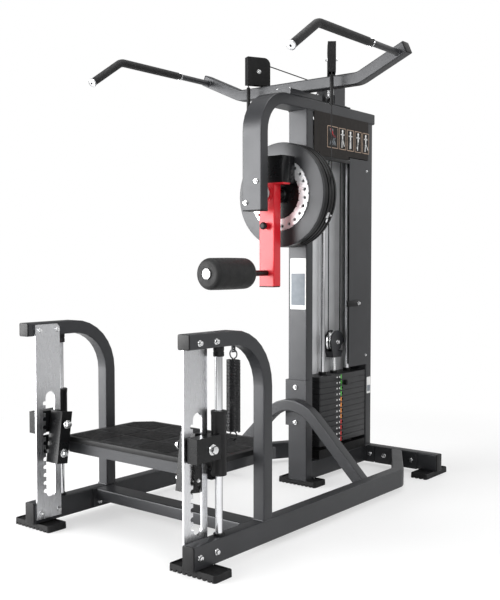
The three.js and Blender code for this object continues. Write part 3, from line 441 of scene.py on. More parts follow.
def moulded(name, colour, roughness, grain, depth, dust):
    """Moulded plastic or rubber with a fine surface grain, a little grey dust, and paler edges that are part edge
    wear and part painted highlight.
    """
    skin = Finish(name, colour, roughness, 0.0, 0.2)
    skin.tint(skin.span(skin.noise(18, 4), 0.45, 0.8, 0.0, dust), (0.05, 0.05, 0.051))
    # Paler edges: part edge wear, part painted highlight.
    skin.tint(skin.maths("MULTIPLY", skin.edges(0.0014), 0.5), (0.09, 0.09, 0.093))
    skin.rough(skin.span(skin.noise(35, 3), 0.35, 0.75, 0.0, 0.6), min(1, roughness + 0.2))
    skin.relief(skin.noise(grain, 3), depth, 0.6)
    skin.relief(skin.cells(grain * 0.5), depth * 0.6, 0.4)
    skin.done()


def foam(name):
    """Closed-cell foam: matt, with fine pores and soft dents."""
    skin = Finish(name, (0.008, 0.008, 0.0083), 0.55, specular=0.25)
    skin.tint(skin.span(skin.cells(1300), 0.35, 0.0, 0.0, 0.55), (0.004, 0.004, 0.004))
    skin.tint(skin.span(skin.noise(25, 4), 0.5, 0.8, 0.0, 0.45), (0.016, 0.016, 0.0165))
    skin.rough(skin.span(skin.noise(40, 4), 0.35, 0.75, 0.0, 0.7), 0.78)
    skin.relief(skin.cells(1300), 0.00016, 0.7)
    skin.relief(skin.noise(45, 3), 0.0006, 0.35)
    skin.surface.inputs["Sheen Weight"].default_value = 0.04
    skin.done()


def printed(name, colour, accent):
    """Printed or painted film with slight unevenness."""
    film = Finish(name, colour, 0.42, 0.0, 0.15)
    film.tint(film.span(film.noise(40, 3), 0.4, 0.75, 0.0, 0.5), accent)
    film.rough(film.span(film.noise(60, 3), 0.3, 0.8, 0.0, 0.5), 0.6)
    film.relief(film.noise(700, 2), 0.00004, 0.4)
    film.done()


GRAIN_UP = (1, 1, 0.02)                        # stretches a grain along Z

powder_coat("frame_paint", (0.026, 0.0268, 0.0292), (0.04, 0.0412, 0.045), 0.36, 0.3, 0.3)
powder_coat("cam_paint", (0.028, 0.0286, 0.0305), (0.045, 0.046, 0.049), 0.33, 0.35, 0.3)
powder_coat("arm_paint", (0.5, 0.008, 0.016), (0.58, 0.018, 0.026), 0.3, 0.0, 0.1)
powder_coat("black_paint", (0.004, 0.0042, 0.0046), (0.009, 0.0092, 0.01), 0.26, 0.0, 0.1, 0.2)
powder_coat("stack_iron", (0.014, 0.0143, 0.0155), (0.024, 0.0246, 0.0265), 0.45, 0.2, 0.1)
bright_metal("chrome_steel", (0.66, 0.665, 0.68), 0.07, 0.15, painted_flank_reflection=0.9)
bright_metal("brushed_plate", (0.6, 0.605, 0.62), 0.26, 0.3, GRAIN_UP, 420, 1.0, 0.06)
bright_metal("zinc", (0.74, 0.745, 0.75), 0.2, 0.3)
bright_metal("satin_steel", (0.8, 0.805, 0.815), 0.34, 0.3, metallic=0.7)
bright_metal("white_panel", (0.76, 0.766, 0.78), 0.3, 0.5, GRAIN_UP, 260, 0.25)
moulded("black_plastic", (0.0045, 0.0045, 0.0048), 0.36, 900, 0.00012, 0.08)
moulded("cable_jacket", (0.006, 0.006, 0.0065), 0.36, 1200, 0.00006, 0.08)
moulded("foot_rubber", (0.0055, 0.0055, 0.0058), 0.5, 600, 0.0003, 0.15)
moulded("deck_rubber", (0.005, 0.005, 0.0053), 0.38, 700, 0.0002, 0.12)
powder_coat("spring_wire", (0.008, 0.008, 0.009), (0.02, 0.02, 0.022), 0.26, 0.3, 0.1)
foam("grip_foam")
printed("chart_face", (0.008, 0.0058, 0.0045), (0.014, 0.0105, 0.0085))
printed("pale_print", (0.72, 0.72, 0.71), (0.6, 0.6, 0.6))
printed("bronze_print", (0.42, 0.31, 0.23), (0.5, 0.38, 0.3))
printed("grey_print", (0.16, 0.18, 0.2), (0.22, 0.24, 0.26))
printed("red_print", (0.5, 0.03, 0.03), (0.62, 0.06, 0.05))
printed("orange_print", (0.75, 0.26, 0.06), (0.8, 0.34, 0.1))
printed("green_print", (0.09, 0.42, 0.07), (0.14, 0.5, 0.1))

# ------------------------------------------------------------------ driving values from the frame


def low(node):
    """Low corner of a CAD node's box."""
    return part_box(node)[0]


def high(node):
    """High corner of a CAD node's box."""
    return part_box(node)[1]


def middle(node):
    """Centre of a CAD node's box."""
    return (low(node) + high(node)) / 2


TUBE = 0.050                                   # width of the square tubes
HIP = Vector(JOINTS["cam_swing"]["pos_m"])
FRAME_X = high("side_frame_right").x - TUBE / 2
RAIL_TOP = high("rear_cross_tube").z
SOLE = low("side_frame_right").z
STEP_Z = high("side_frame_right").z - TUBE / 2
STEP_FRONT = low("side_frame_right").y
RAIL_FRONT = STEP_FRONT + 0.018                # the rails' front ends, just behind the step tubes'
STEP_POST_Y = -0.8045                          # centre of the step frames' rear legs
POST_FRONT = low("tower_front_post").y
POST_HALF = high("tower_front_post").x
BEAM_TOP = high("top_beam").z
DROP_POST_Y = low("top_beam").y
LEVER_TILT = 7.5                               # the levers lean this many degrees
CARRIAGE_X = 0.3705                            # the black carriages begin outside the rack plates
GROOVES = (-0.130, -0.108, -0.086)             # Y of the cam rim's three cable grooves
CLAMP_DROP_DEG = 24                            # the cable clamps sit this far below the hip axis
CROSSBAR_RISE_DEG = 24                         # slope of the crossbar's raised ends
SADDLE_TOP = 1.734                             # top of the crossbar's saddle plate
CABLE_R = 0.0025
BAR_R = 0.0125                                 # radius of the handles and of the guide rods
BORE_R = BAR_R + 0.0002                        # bore of what sits on them
SEAT = 0.0002                                  # gap that keeps a fitted piece off its face


# ------------------------------------------------------------------ carried-over CAD nodes


EDGE = 0.0012                                  # rounding of plates and blocks
TUBE_CORNER = 0.0032                           # rounding of the square tubes
TUBE_NODES = ("side_frame", "front_cross", "rear_cross", "base_beam", "arch_brace", "tower_front",
              "tower_rear", "top_beam", "crossbar", "pulley_post", "swing_arm")


def finish_cad_nodes():
    """Welds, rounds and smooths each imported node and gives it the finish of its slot."""
    slots = {part["node"]: part["material_slot"] for part in frame["record"]["subparts"]}
    for name, thing in frame["nodes"].items():
        mesh = thing.data
        for layer in ("custom_normal", "sharp_edge", "sharp_face"):
            if layer in mesh.attributes:
                mesh.attributes.remove(mesh.attributes[layer])
        weld_up = thing.modifiers.new("weld", "WELD")
        weld_up.merge_threshold = 1e-5
        flat = thing.modifiers.new("flat", "DECIMATE")
        flat.decimate_type = "DISSOLVE"
        flat.angle_limit = math.radians(0.4)
        round_off = thing.modifiers.new("round", "BEVEL")
        round_off.width = TUBE_CORNER if name.startswith(TUBE_NODES) else EDGE
        round_off.segments = 3
        round_off.limit_method = "ANGLE"
        round_off.angle_limit = math.radians(36)
        round_off.use_clamp_overlap = True
        even = thing.modifiers.new("even", "WEIGHTED_NORMAL")
        even.keep_sharp = True
        mesh.materials.clear()
        mesh.materials.append(FINISHES[slots[name]])
        if name == "platform_frame":
            mesh.materials.append(FINISHES["black_paint"])
            for face in mesh.polygons:
                face.material_index = int(abs(face.center.x) > CARRIAGE_X)


# ------------------------------------------------------------------ base and side frames


def foot(node, name, crossed):
    """Rubber tray with a low lip, open where a tube crosses it, and a toothed front edge."""
    a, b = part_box(node)
    mid = (a + b) / 2
    pitch, corner, spacing = 0.0211, 0.010, 0.0021
    corners = rounded_rect(b.x - a.x, b.y - a.y, corner, 5)
    outline = []
    for (x0, y0), (x1, y1) in zip(corners, corners[1:] + corners[:1]):
        count = max(1, round(math.dist((x0, y0), (x1, y1)) / spacing))
        outline += [(x0 + (x1 - x0) * i / count, y0 + (y1 - y0) * i / count) for i in range(count)]
    lip = b.z
    layers = [(0.0122, 0.0), (0.0120, 0.0), (0.0, 0.0008), (0.0, 0.0115), (0.0008, lip - 0.0012),
              (0.0022, lip), (0.0036, lip), (0.005, lip - 0.0014), (0.0056, SOLE + 0.0004),
              (0.009, SOLE + 0.0001)]
    rings = []
    for level, (distance, height) in enumerate(layers):
        ring = []
        for x, y in inset(outline, distance):
            z = height
            on_front = y < (a.y - b.y) / 2 + 0.004 + distance
            if level in (1, 2) and on_front and abs(x) < (b.x - a.x) / 2 - 0.013:
                z += 0.0085 * min(1, max(0, 1.6 * math.cos(TURN * x / pitch) - 0.2))
            if z > SOLE and crossed(mid.x + x, mid.y + y):
                z = SOLE
            ring.append((mid.x + x, mid.y + y, z))
        rings.append(ring)
    Form().skin(rings).piece(name, "foot_rubber", replaces=[node])


def make_feet():
    """The five rubber feet, each opened where its tubes cross it."""
    beam = high("base_beam").x - 0.047
    cross_low, cross_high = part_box("rear_cross_tube")
    for side, _ in SIDES:
        foot(f"foot_front_{side}", f"rubber_foot_front_{side}",
             lambda x, y: abs(abs(x) - FRAME_X) < TUBE / 2 + 0.001)
        foot(f"foot_rear_{side}", f"rubber_foot_rear_{side}",
             lambda x, y: cross_low.y - 0.001 < y < cross_high.y + 0.001)
    foot("foot_tower", "rubber_foot_tower",
         lambda x, y: (abs(x) < POST_HALF + 0.001 and y < 0.02) or (abs(x) < beam and y > 0))


def make_end_caps():
    """Black caps in every open tube end."""
    caps = Form()
    rail_z, rail_height = (SOLE + RAIL_TOP) / 2, RAIL_TOP - SOLE
    cross, cross_end = middle("rear_cross_tube"), high("rear_cross_tube").x
    rise = math.radians(CROSSBAR_RISE_DEG)
    half = TUBE / 2
    bar = high("crossbar")
    for _, sign in SIDES:
        plug(caps, (sign * FRAME_X, STEP_FRONT, STEP_Z), -Y, Z, TUBE, TUBE)
        plug(caps, (sign * FRAME_X, RAIL_FRONT, rail_z), -Y, Z, TUBE, rail_height)
        plug(caps, (sign * cross_end, cross.y, rail_z), X * sign, Z, TUBE, rail_height)
        out = Vector((sign * math.cos(rise), 0, math.sin(rise)))
        up = Vector((-sign * math.sin(rise), 0, math.cos(rise)))
        end = (sign * (bar.x - half * math.sin(rise)), -0.035, bar.z - half * math.cos(rise))
        plug(caps, end, out, up, TUBE, TUBE)
    plug(caps, (0, DROP_POST_Y + half, low("top_beam").z), -Z, Y, 2 * POST_HALF, TUBE)
    plug(caps, (0, high("top_beam").y, BEAM_TOP - half), Y, Z, 2 * POST_HALF, TUBE)
    caps.piece("tube_end_caps", "black_plastic")
    arm = Form()
    plug(arm, (0, middle("swing_arm").y, low("swing_arm").z), -Z, Y, 0.080, 0.049)
    arm.piece("arm_end_cap", "black_plastic", "arm")


def make_frame_bolts():
    """Bolts of the hip shaft, the arch, the base, the step frames, the crossbar and the top beam."""
    bolts = Form()
    arch_face = -0.0512
    low_z, high_z = 0.060, STEP_Z - 0.005
    for x, z in ((0.024, HIP.z + 0.044), (-0.031, HIP.z - 0.043)):
        bolt(bolts, (x, DROP_POST_Y - SEAT, z), -Y, 0.0105)
    for z in (0.440, 0.283):
        bolt(bolts, (0, arch_face - SEAT, z), -Y, 0.0105)
    flange = high("base_beam").y - 0.0057 - SEAT
    rear = high("rear_cross_tube").y + SEAT
    for _, sign in SIDES:
        for x, size in ((0.143, 0.011), (0.288, 0.011), (0.064, 0.0095)):
            bolt(bolts, (sign * x, flange, low_z), -Y, size)
            bolt(bolts, (sign * x, rear, low_z), Y, 0.0095)
        for y in (-1.160, -1.080):
            for z in (high_z, low_z):
                bolt(bolts, (sign * (FRAME_X + TUBE / 2 + SEAT), y, z), X * sign, 0.0105)
                bolt(bolts, (sign * (low("rack_plate_right").x - SEAT), y, z), X * -sign, 0.0095)
        end_plate = high("front_cross_tube").x - 0.006
        bolt(bolts, (sign * (end_plate - SEAT), -0.873, 0.043), X * -sign, 0.0085)
    for x in (0.034, -0.034):
        for y in (-0.140, 0.060):
            bolt(bolts, (x, y, SADDLE_TOP + SEAT), Z, 0.008)
        for y in (0.165, 0.298):
            bolt(bolts, (x, y, BEAM_TOP + 0.0042), Z, 0.007)
    bolts.piece("frame_bolts", "zinc")


def make_welds():
    """Weld beads where tubes meet."""
    beads = Form()
    lift = 0.0006

    def round_tube(a, b, z, radius):
        weld(beads, [(a.x, a.y, z), (b.x, a.y, z), (b.x, b.y, z), (a.x, b.y, z)], radius)

    corner = Vector((TUBE / 2, TUBE / 2))
    for _, sign in SIDES:
        leg = Vector((sign * FRAME_X, STEP_POST_Y))
        round_tube(leg - corner, leg + corner, RAIL_TOP + lift, 0.0028)
    for node in ("tower_front_post", "tower_rear_post"):
        round_tube(*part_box(node), BEAM_TOP - TUBE - lift, 0.0024)
    round_tube(*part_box("tower_rear_post"), RAIL_TOP + lift, 0.0026)
    beads.piece("weld_beads", "frame_paint")


# ------------------------------------------------------------------ weight tower


def make_placard():
    """Exercise chart: outlined boxes with plain figures, and bare curves for a muscle map."""
    a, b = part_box("chart_placard")
    face = b.x - 0.003
    top, bottom = b.z - 0.055, b.z - 0.150
    centre_z = (top + bottom) / 2
    first, wide, narrow, gap = a.y + 0.105, 0.085, 0.056, 0.012
    lines, figures, accents, greys = Form(), Form(), Form(), Form()

    def bar(form, y0, z0, y1, z1, width):
        start, end = Vector((0, y0, z0)), Vector((0, y1, z1))
        along = (end - start).normalized()
        across = X.cross(along)
        half = width / 2
        corners = [start - along * half - across * half, end + along * half - across * half,
                   end + along * half + across * half, start - along * half + across * half]
        form.skin([[p + X * level for p in corners] for level in (face - SEAT, face + 0.0005)])

    def box_line(y0, y1, z0, z1):
        corners = [(y0, z0), (y1, z0), (y1, z1), (y0, z1)]
        for i, corner in enumerate(corners):
            bar(lines, *corner, *corners[(i + 1) % 4], 0.0024)

    box_line(first, first + wide, bottom, top)
    for i in range(5):
        start = first + 0.020 + 0.006 * i
        bend = 0.018 * math.sin(i * 0.9)
        form = accents if i in (1, 2) else greys
        bar(form, start, top - 0.012, start + 0.016 + bend, centre_z, 0.004)
        bar(greys, start + 0.016 + bend, centre_z, start + 0.006 * i, bottom + 0.014, 0.004)
    leg_swing = (0.010, 0.0, -0.014, 0.016)
    for i, swing in enumerate(leg_swing):
        y = first + wide + gap + i * (narrow + gap)
        box_line(y, y + narrow, bottom, top)
        mid, hip_z = y + narrow / 2, centre_z - 0.004
        figures.rod(0.0065, -SEAT, 0.0005, (face, mid, top - 0.012), X, 16)
        bar(figures, mid, top - 0.022, mid, hip_z, 0.009)
        bar(figures, mid - 0.013, top - 0.028, mid + 0.013, top - 0.028, 0.0045)
        bar(figures, mid - 0.003, hip_z, mid - 0.005, bottom + 0.010, 0.005)
        lift = bottom + 0.012 + abs(swing) * 0.5
        bar(figures, mid + 0.003, hip_z, mid + 0.004 + swing, lift, 0.005)
    lines.piece("chart_outlines", "bronze_print")
    figures.piece("chart_figures", "pale_print")
    accents.piece("chart_accents", "red_print")
    greys.piece("chart_greys", "grey_print")


def make_blank_labels():
    """Plain labels: a pale plate with a grey field, on the front and the rear posts."""
    plate, field = Form(), Form()
    y = POST_FRONT - 0.0003
    front = ((plate, 0.786, 1.012, 0.084, 0.0006), (field, 0.804, 0.945, 0.074, 0.0009))
    for form, low_z, high_z, width, proud in front:
        outline = rounded_rect(width, high_z - low_z, 0.003)
        form.prism(outline, (0.004, y, (low_z + high_z) / 2), X, Z, proud, 0.0002)
    x = POST_HALF + 0.0003
    rear = middle("tower_rear_post").y
    plate.prism(rounded_rect(0.034, 0.080, 0.002), (x, rear, 0.395), Y, Z, 0.0006, 0.0002)
    field.prism(rounded_rect(0.028, 0.030, 0.002), (x, rear, 0.380), Y, Z, 0.0009, 0.0002)
    plate.piece("blank_label_plates", "pale_print")
    field.piece("blank_label_fields", "grey_print")


def make_stack():
    """Ten resting plates, the lifted plate and the head plate, bored for rods, stem and pin."""
    a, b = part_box("weight_plates")
    lifted_low, lifted_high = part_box("lifted_plate")
    head_top = 2 * lifted_high.z - lifted_low.z + 0.0003
    count = 10
    pitch = (lifted_low.z - a.z) / count
    stem_y = middle("selector_pin").y
    rods = [middle("stack_rod_front").y, middle("stack_rod_rear").y]

    bore = 0.0122

    def plate(name, bottom, top, body, node, pin=True):
        """One plate with eased edges, cut for the rods, the stem and the pin."""
        block = Form().slab((a.x, a.y, bottom), (b.x, b.y, top), 0.0022, 0.006)
        thing = block.piece(name, "stack_iron", body, [node])
        bores = Form()
        for y in rods + [stem_y]:
            bores.rod(bore, -0.01, top - bottom + 0.01, (0, y, bottom), Z, 24)
        carve(thing, bores)
        if pin:
            carve(thing, Form().rod(0.0058, 0.014, 0.06, (0, stem_y, (bottom + top) / 2), X, 20))

    for i in range(count):
        bottom = a.z + i * pitch
        plate(f"weight_plate_{i + 1:02d}", bottom, bottom + pitch - 0.0006, "frame", "weight_plates")
    plate("weight_plate_11", lifted_low.z, lifted_high.z, "stack", "lifted_plate")
    plate("head_plate_casting", lifted_high.z + 0.0003, head_top, "stack", "head_plate", pin=False)

    foot_z, tip_z = low("head_plate").z, high("head_plate").z
    stem = Form().lathe([(0, foot_z), (0.0085, foot_z), (0.010, foot_z + 0.003), (0.010, tip_z),
                         (0, tip_z)], (0, stem_y, 0), Z, 32)
    stem.piece("selector_stem", "zinc", "stack")
    collar = Form().lathe([(0, 0), (0.019, 0), (0.019, 0.010), (0.017, 0.012), (0, 0.012)],
                          (0, stem_y, head_top), Z, 32)
    for y in rods:
        collar.lathe([(bore, 0), (0.0185, 0), (0.0185, 0.012), (0.0165, 0.014), (bore, 0.014)],
                     (0, y, head_top), Z, 32, loop=True)
    collar.piece("head_plate_bushes", "black_plastic", "stack")

    tall = pitch / 2 - 0.003
    for name, body, levels in (("rest", "frame", range(count)), ("lift", "stack", (count, count + 1))):
        dots, stripes = Form(), {colour: Form() for colour in ("green", "orange", "red")}
        for i in levels:
            z = a.z + (i + 0.5) * pitch
            for y in (stem_y - 0.046, stem_y - 0.024):
                dots.rod(0.0042, -SEAT, 0.0004, (b.x, y, z), X, 14)
            colour = "green" if i > 7 else "orange" if i > 3 else "red"
            stripes[colour].prism([(-0.0045, -tall), (0.0045, -tall), (0.0045, tall), (-0.0045, tall)],
                                  (b.x - SEAT, stem_y - 0.011, z), Y, Z, 0.0006, 0.0001, 1)
        dots.piece(f"plate_dots_{name}", "pale_print", body)
        for colour, form in stripes.items():
            if form.faces:
                form.piece(f"plate_stripe_{colour}_{name}", f"{colour}_print", body)


def make_stack_pin():
    """Selector pin: steel shank and a ribbed black knob."""
    a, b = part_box("selector_pin")
    y, z = (a.y + b.y) / 2, (a.z + b.z) / 2
    knob_x = b.x - 0.023
    shank = Form().lathe([(0, a.x), (0.0038, a.x + 0.0002), (0.005, a.x + 0.003), (0.005, knob_x + 0.004),
                          (0, knob_x + 0.004)], (0, y, z), X, 24)
    shank.piece("selector_pin_shank", "zinc", "pin", ["selector_pin"])
    profile = [(0.006, 0), (0.0115, 0.001), (0.013, 0.003), (0.013, 0.018), (0.0118, 0.0215),
               (0.007, 0.023)]
    ribs, points = 12, 60
    rings = []
    for radius, along in profile:
        ring = []
        for i in range(points):
            turn = TURN * i / points
            reach = 0.95 * radius * (1 + 0.05 * math.cos(ribs * turn) * (radius > 0.0119))
            ring.append((knob_x + along, y + reach * math.cos(turn), z + reach * math.sin(turn)))
        rings.append(ring)
    Form().skin(rings).piece("selector_pin_knob", "black_plastic", "pin")


def make_tower_details():
    """Cable clip on the post's side, the chart's lower lip and the cover's screws."""
    clip = Form()
    x = POST_HALF
    cover = low("cover_panel")
    clip.slab((x + 0.0026, cover.y - 0.025, 0.786), (x + 0.014, cover.y + 0.085, 0.812), 0.001, 0.002)
    lip = low("chart_placard")
    clip.slab((x - 0.004, lip.y + 0.004, lip.z - 0.016), (x + 0.0055, cover.y, lip.z - 0.0004),
              0.001, 0.0015)
    clip.piece("cable_clip_and_lip", "black_plastic")
    screws = Form()
    bolt(screws, (x + 0.014, cover.y + 0.066, 0.799), X, 0.0085)
    for z in (0.545, 1.430):
        bolt(screws, (x + 0.0024, cover.y + 0.150, z), X, 0.006)
    screws.piece("cover_screws", "zinc")


# ------------------------------------------------------------------ cables and pulleys


def pulley(node, joint, body, width, material, bore):
    """Grooved wheel with a dished web and a hub, on the axis of its joint."""
    axis = Vector(JOINTS[joint]["axis"]).normalized()
    centre = Vector(JOINTS[joint]["pos_m"])
    a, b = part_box(node)
    rim = (b.z - a.z) / 2
    half = width / 2
    floor, web = rim - 0.0072, 0.0028
    profile = [(bore, -half), (bore + 0.006, -half), (bore + 0.0085, -half + 0.002),
               (bore + 0.012, -web), (rim - 0.0125, -web), (rim - 0.0105, -half + 0.001),
               (rim - 0.0095, -half), (rim - 0.001, -half), (rim, -half + 0.001),
               (floor + 0.0012, -0.0026), (floor, -0.001)]
    wheel = Form().lathe(mirrored(profile), centre, axis, 56, loop=True)
    wheel.piece(node + "_wheel", material, body, [node])


def cable_wheels(side):
    """Centre and pitch radius of the side wheel and of the top wheel of one cable."""
    wheels = []
    for place in ("side", "top"):
        a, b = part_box(f"{place}_pulley_{side}")
        wheels.append((Vector(JOINTS[f"{place}_wheel_{side}_spin"]["pos_m"]), (b.z - a.z) / 2 - 0.004))
    return wheels


def cable_section(radius=CABLE_R):
    return circle(radius, 12)


def top_cable_run(side):
    """Centreline from the cam's rim over the side pulley and the top pulley, down into the tower."""
    (side_wheel, r1), (top_wheel, r2) = cable_wheels(side)
    across = top_wheel - side_wheel
    drop = -across.z
    across.z = 0
    reach = across.length
    across.normalize()
    spacing = math.hypot(reach, drop)
    slope = math.degrees(math.atan2(drop, reach) + math.asin((r1 - r2) / spacing))
    start = side_wheel - across * r1
    start.z = HIP.z
    free = math.sqrt(spacing ** 2 - (r1 - r2) ** 2)
    run = Run(start, Z, Z.cross(across))
    run.ahead(side_wheel.z - HIP.z, 60).turn(r1, 90 + slope, 20).ahead(free).turn(r2, 90 - slope, 14)
    return run.ahead(top_wheel.z - high("lift_cable").z - 0.0003)


def make_cables():
    """Jacketed wire ropes, their stop sleeves and ferrules."""
    stop_low, stop_high = 1.650, 1.775
    stop = [(0.0028, stop_low), (0.0072, stop_low), (0.0082, stop_low + 0.004),
            (0.0082, stop_high - 0.004), (0.0070, stop_high), (0.0028, stop_high)]
    ferrule = mirrored([(0.0027, -0.016), (0.0048, -0.016), (0.0052, -0.014)])
    ferrules = Form()
    for side, _ in SIDES:
        run = top_cable_run(side)
        x, y, _ = run.stops[0][0]
        fixed = side == "right"
        rope = Form().sweep(run, cable_section()).piece(
            f"cable_{side}_rope", "cable_jacket", replaces=[f"cable_{side}"], ride=fixed)
        if not fixed:
            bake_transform(rope)
        sleeve = Form().lathe(stop, (x, y, 0), Z, 24, loop=True)
        sleeve.piece(f"cable_stop_{side}", "black_plastic")
        ferrules.lathe(ferrule, run.stops[-1][0], Z, 20, loop=True)
    ferrules.piece("cable_ferrules", "zinc")

    a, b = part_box("lift_cable")
    wheel = Vector(JOINTS["lift_wheel_spin"]["pos_m"])
    radius = (b.y - a.y) / 2 - CABLE_R
    run = Run((0, wheel.y - radius, b.z), -Z, X)
    run.ahead(b.z - wheel.z, 60).turn(radius, 180, 24).ahead(b.z - wheel.z, 60)
    rope = Form().sweep(run, cable_section()).piece(
        "lift_cable_rope", "cable_jacket", replaces=["lift_cable"], ride=False)
    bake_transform(rope)


def make_rim_cable():
    """The stretch of each cable that lies in the cam's groove, down to its clamp."""
    start = top_cable_run("right").stops[0][0]
    radius, y = abs(start.x), start.y
    rope = Form()
    for _, sign in SIDES:
        run = Run((sign * radius, y, HIP.z), -Z, Y * sign).turn(radius, CLAMP_DROP_DEG, 10)
        rope.sweep(run, cable_section())
    back = Run((radius, y, HIP.z), Z, -Y).turn(radius - 0.0006, 92, 34)
    rope.sweep(back, cable_section(0.0022))
    rope.piece("cam_groove_cable", "cable_jacket", "cam")


def make_cable_clamps():
    """Clamp block, ferrule and screw at each cable's end."""
    for side, sign in SIDES:
        block, screw = Form(), Form()
        turn = math.radians(CLAMP_DROP_DEG)
        out = Vector((sign * math.cos(turn), 0, -math.sin(turn)))
        down = Vector((-sign * math.sin(turn), 0, -math.cos(turn)))
        centre = Vector((0, GROOVES[1], HIP.z)) + out * 0.2252
        thick = 0.0122
        block.prism(rounded_rect(0.026, 0.016, 0.003), centre, down, Y * -sign, thick, 0.0012)
        bolt(screw, centre + out * thick - down * 0.004, out, 0.0052)
        screw.lathe([(0, 0.013), (0.0044, 0.013), (0.0052, 0.016), (0.0052, 0.026), (0.004, 0.030),
                     (0, 0.030)], centre + out * 0.002, down, 20)
        block.piece(f"cable_clamp_{side}_block", "zinc", "cam", [f"cable_clamp_{side}"])
        screw.piece(f"cable_clamp_{side}_screw", "chrome_steel", "cam")


def axle_bolts(joint, reach, size):
    """A bolt at each end of a wheel's axle."""
    centre, axis = Vector(JOINTS[joint]["pos_m"]), Vector(JOINTS[joint]["axis"])
    ends = Form()
    for way in (1, -1):
        bolt(ends, centre + axis * way * reach, axis * way, size)
    return ends


def make_pulleys():
    """The five cable wheels and the bolts of their axles."""
    for side, _ in SIDES:
        pulley(f"side_pulley_{side}", f"side_wheel_{side}_spin", f"side_wheel_{side}", 0.020,
               "black_plastic", 0.0063)
        pulley(f"top_pulley_{side}", f"top_wheel_{side}_spin", f"top_wheel_{side}", 0.014, "zinc", 0.0053)
        axle_bolts(f"side_wheel_{side}_spin", 0.0171, 0.0095).piece(f"housing_bolts_{side}", "zinc")
    pulley("lift_pulley", "lift_wheel_spin", "lift_wheel", 0.020, "zinc", 0.0063)
    axle_bolts("lift_wheel_spin", 0.0201, 0.0105).piece("lift_yoke_bolts", "zinc", "stack")


# ------------------------------------------------------------------ hip axis


def drilled_ring(form, centre, inner, outer, pitch, count, hole, y0, y1, points=24):
    """Flat ring about Y with a circle of holes, each in a patch of its own."""
    sector = TURN / count
    for i in range(count):
        mid = sector * (i + 0.5)
        patch, hole_ring = [], []
        for j in range(points):
            turn = TURN * (j + 0.5) / points
            c, s = math.cos(turn), math.sin(turn)
            reach = 1 / max(abs(c), abs(s))
            u, v = c * reach, s * reach
            radius = pitch + ((outer - pitch) if u > 0 else (pitch - inner)) * u
            angle = mid + v * sector / 2
            patch.append((radius * math.cos(angle), radius * math.sin(angle)))
            along, aside = pitch + hole * c, hole * s
            hole_ring.append((along * math.cos(mid) - aside * math.sin(mid),
                              along * math.sin(mid) + aside * math.cos(mid)))
        first = len(form.points)
        for ring, y in ((patch, y0), (hole_ring, y0), (hole_ring, y1), (patch, y1)):
            form.points += [centre + Vector((p[0], y, p[1])) for p in ring]
        for j in range(points):
            k = (j + 1) % points
            for layer in range(3):
                a, b = first + layer * points, first + (layer + 1) * points
                form.faces.append((a + j, a + k, b + k, b + j))
            turn_j, turn_k = TURN * (j + 0.5) / points, TURN * (k + 0.5) / points
            same = all(abs(math.cos(t)) >= abs(math.sin(t)) - 1e-9 for t in (turn_j, turn_k))
            if same and math.cos(turn_j) * math.cos(turn_k) > 0:
                a, b = first + 3 * points, first
                form.faces.append((a + j, a + k, b + k, b + j))


def make_cam():
    """Dished drum: painted disc, dark web, black grooved rim and bright index ring."""
    a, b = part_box("cam_disc")
    rim = (b.z - a.z) / 2
    front, rear = -0.169, -0.070
    centre = Vector((0, 0, HIP.z))
    skin = [(0.1035, front + 0.006), (0.1035, front + 0.001), (0.1045, front), (rim - 0.0045, front),
            (rim - 0.0018, front + 0.0008), (rim - 0.0006, front + 0.0030), (rim - 0.0006, front + 0.0120),
            (0.2170, front + 0.0122), (0.2170, rear), (0.2070, rear), (0.2070, front + 0.012),
            (0.1035, front + 0.012)]
    Form().lathe(skin, centre, Y, 128, loop=True).piece("cam_face", "cam_paint", "cam", ["cam_disc"])
    floor = rim - 0.0075
    liner = [(0.2172, front + 0.0125), (rim - 0.0012, front + 0.0125)]
    groove = mirrored([(rim, -0.0075), (rim, -0.0045), (floor + 0.001, -0.0032), (floor, -0.0012)])
    for y in GROOVES:
        liner += [(radius, y + along) for radius, along in groove]
    liner += [(rim - 0.0012, rear - 0.0005), (0.2172, rear - 0.0005)]
    Form().lathe(liner, centre, Y, 128, loop=True).piece("cam_rim_liner", "black_plastic", "cam")
    hub = [(0.0205, -0.178), (0.0325, -0.178), (0.0340, -0.1765), (0.0340, -0.163), (0.1032, -0.163),
           (0.1032, -0.157), (0.0340, -0.157), (0.0340, -0.0655), (0.0325, -0.064), (0.0205, -0.064)]
    Form().lathe(hub, centre, Y, 72, loop=True).piece("cam_hub_web", "black_paint", "cam")
    ring = Form()
    drilled_ring(ring, centre, 0.1040, 0.1530, 0.1360, 24, 0.0072, -0.1760, front - 0.0001)
    ring.piece("cam_index_ring", "satin_steel", "cam", ["index_ring"], sharp=30)


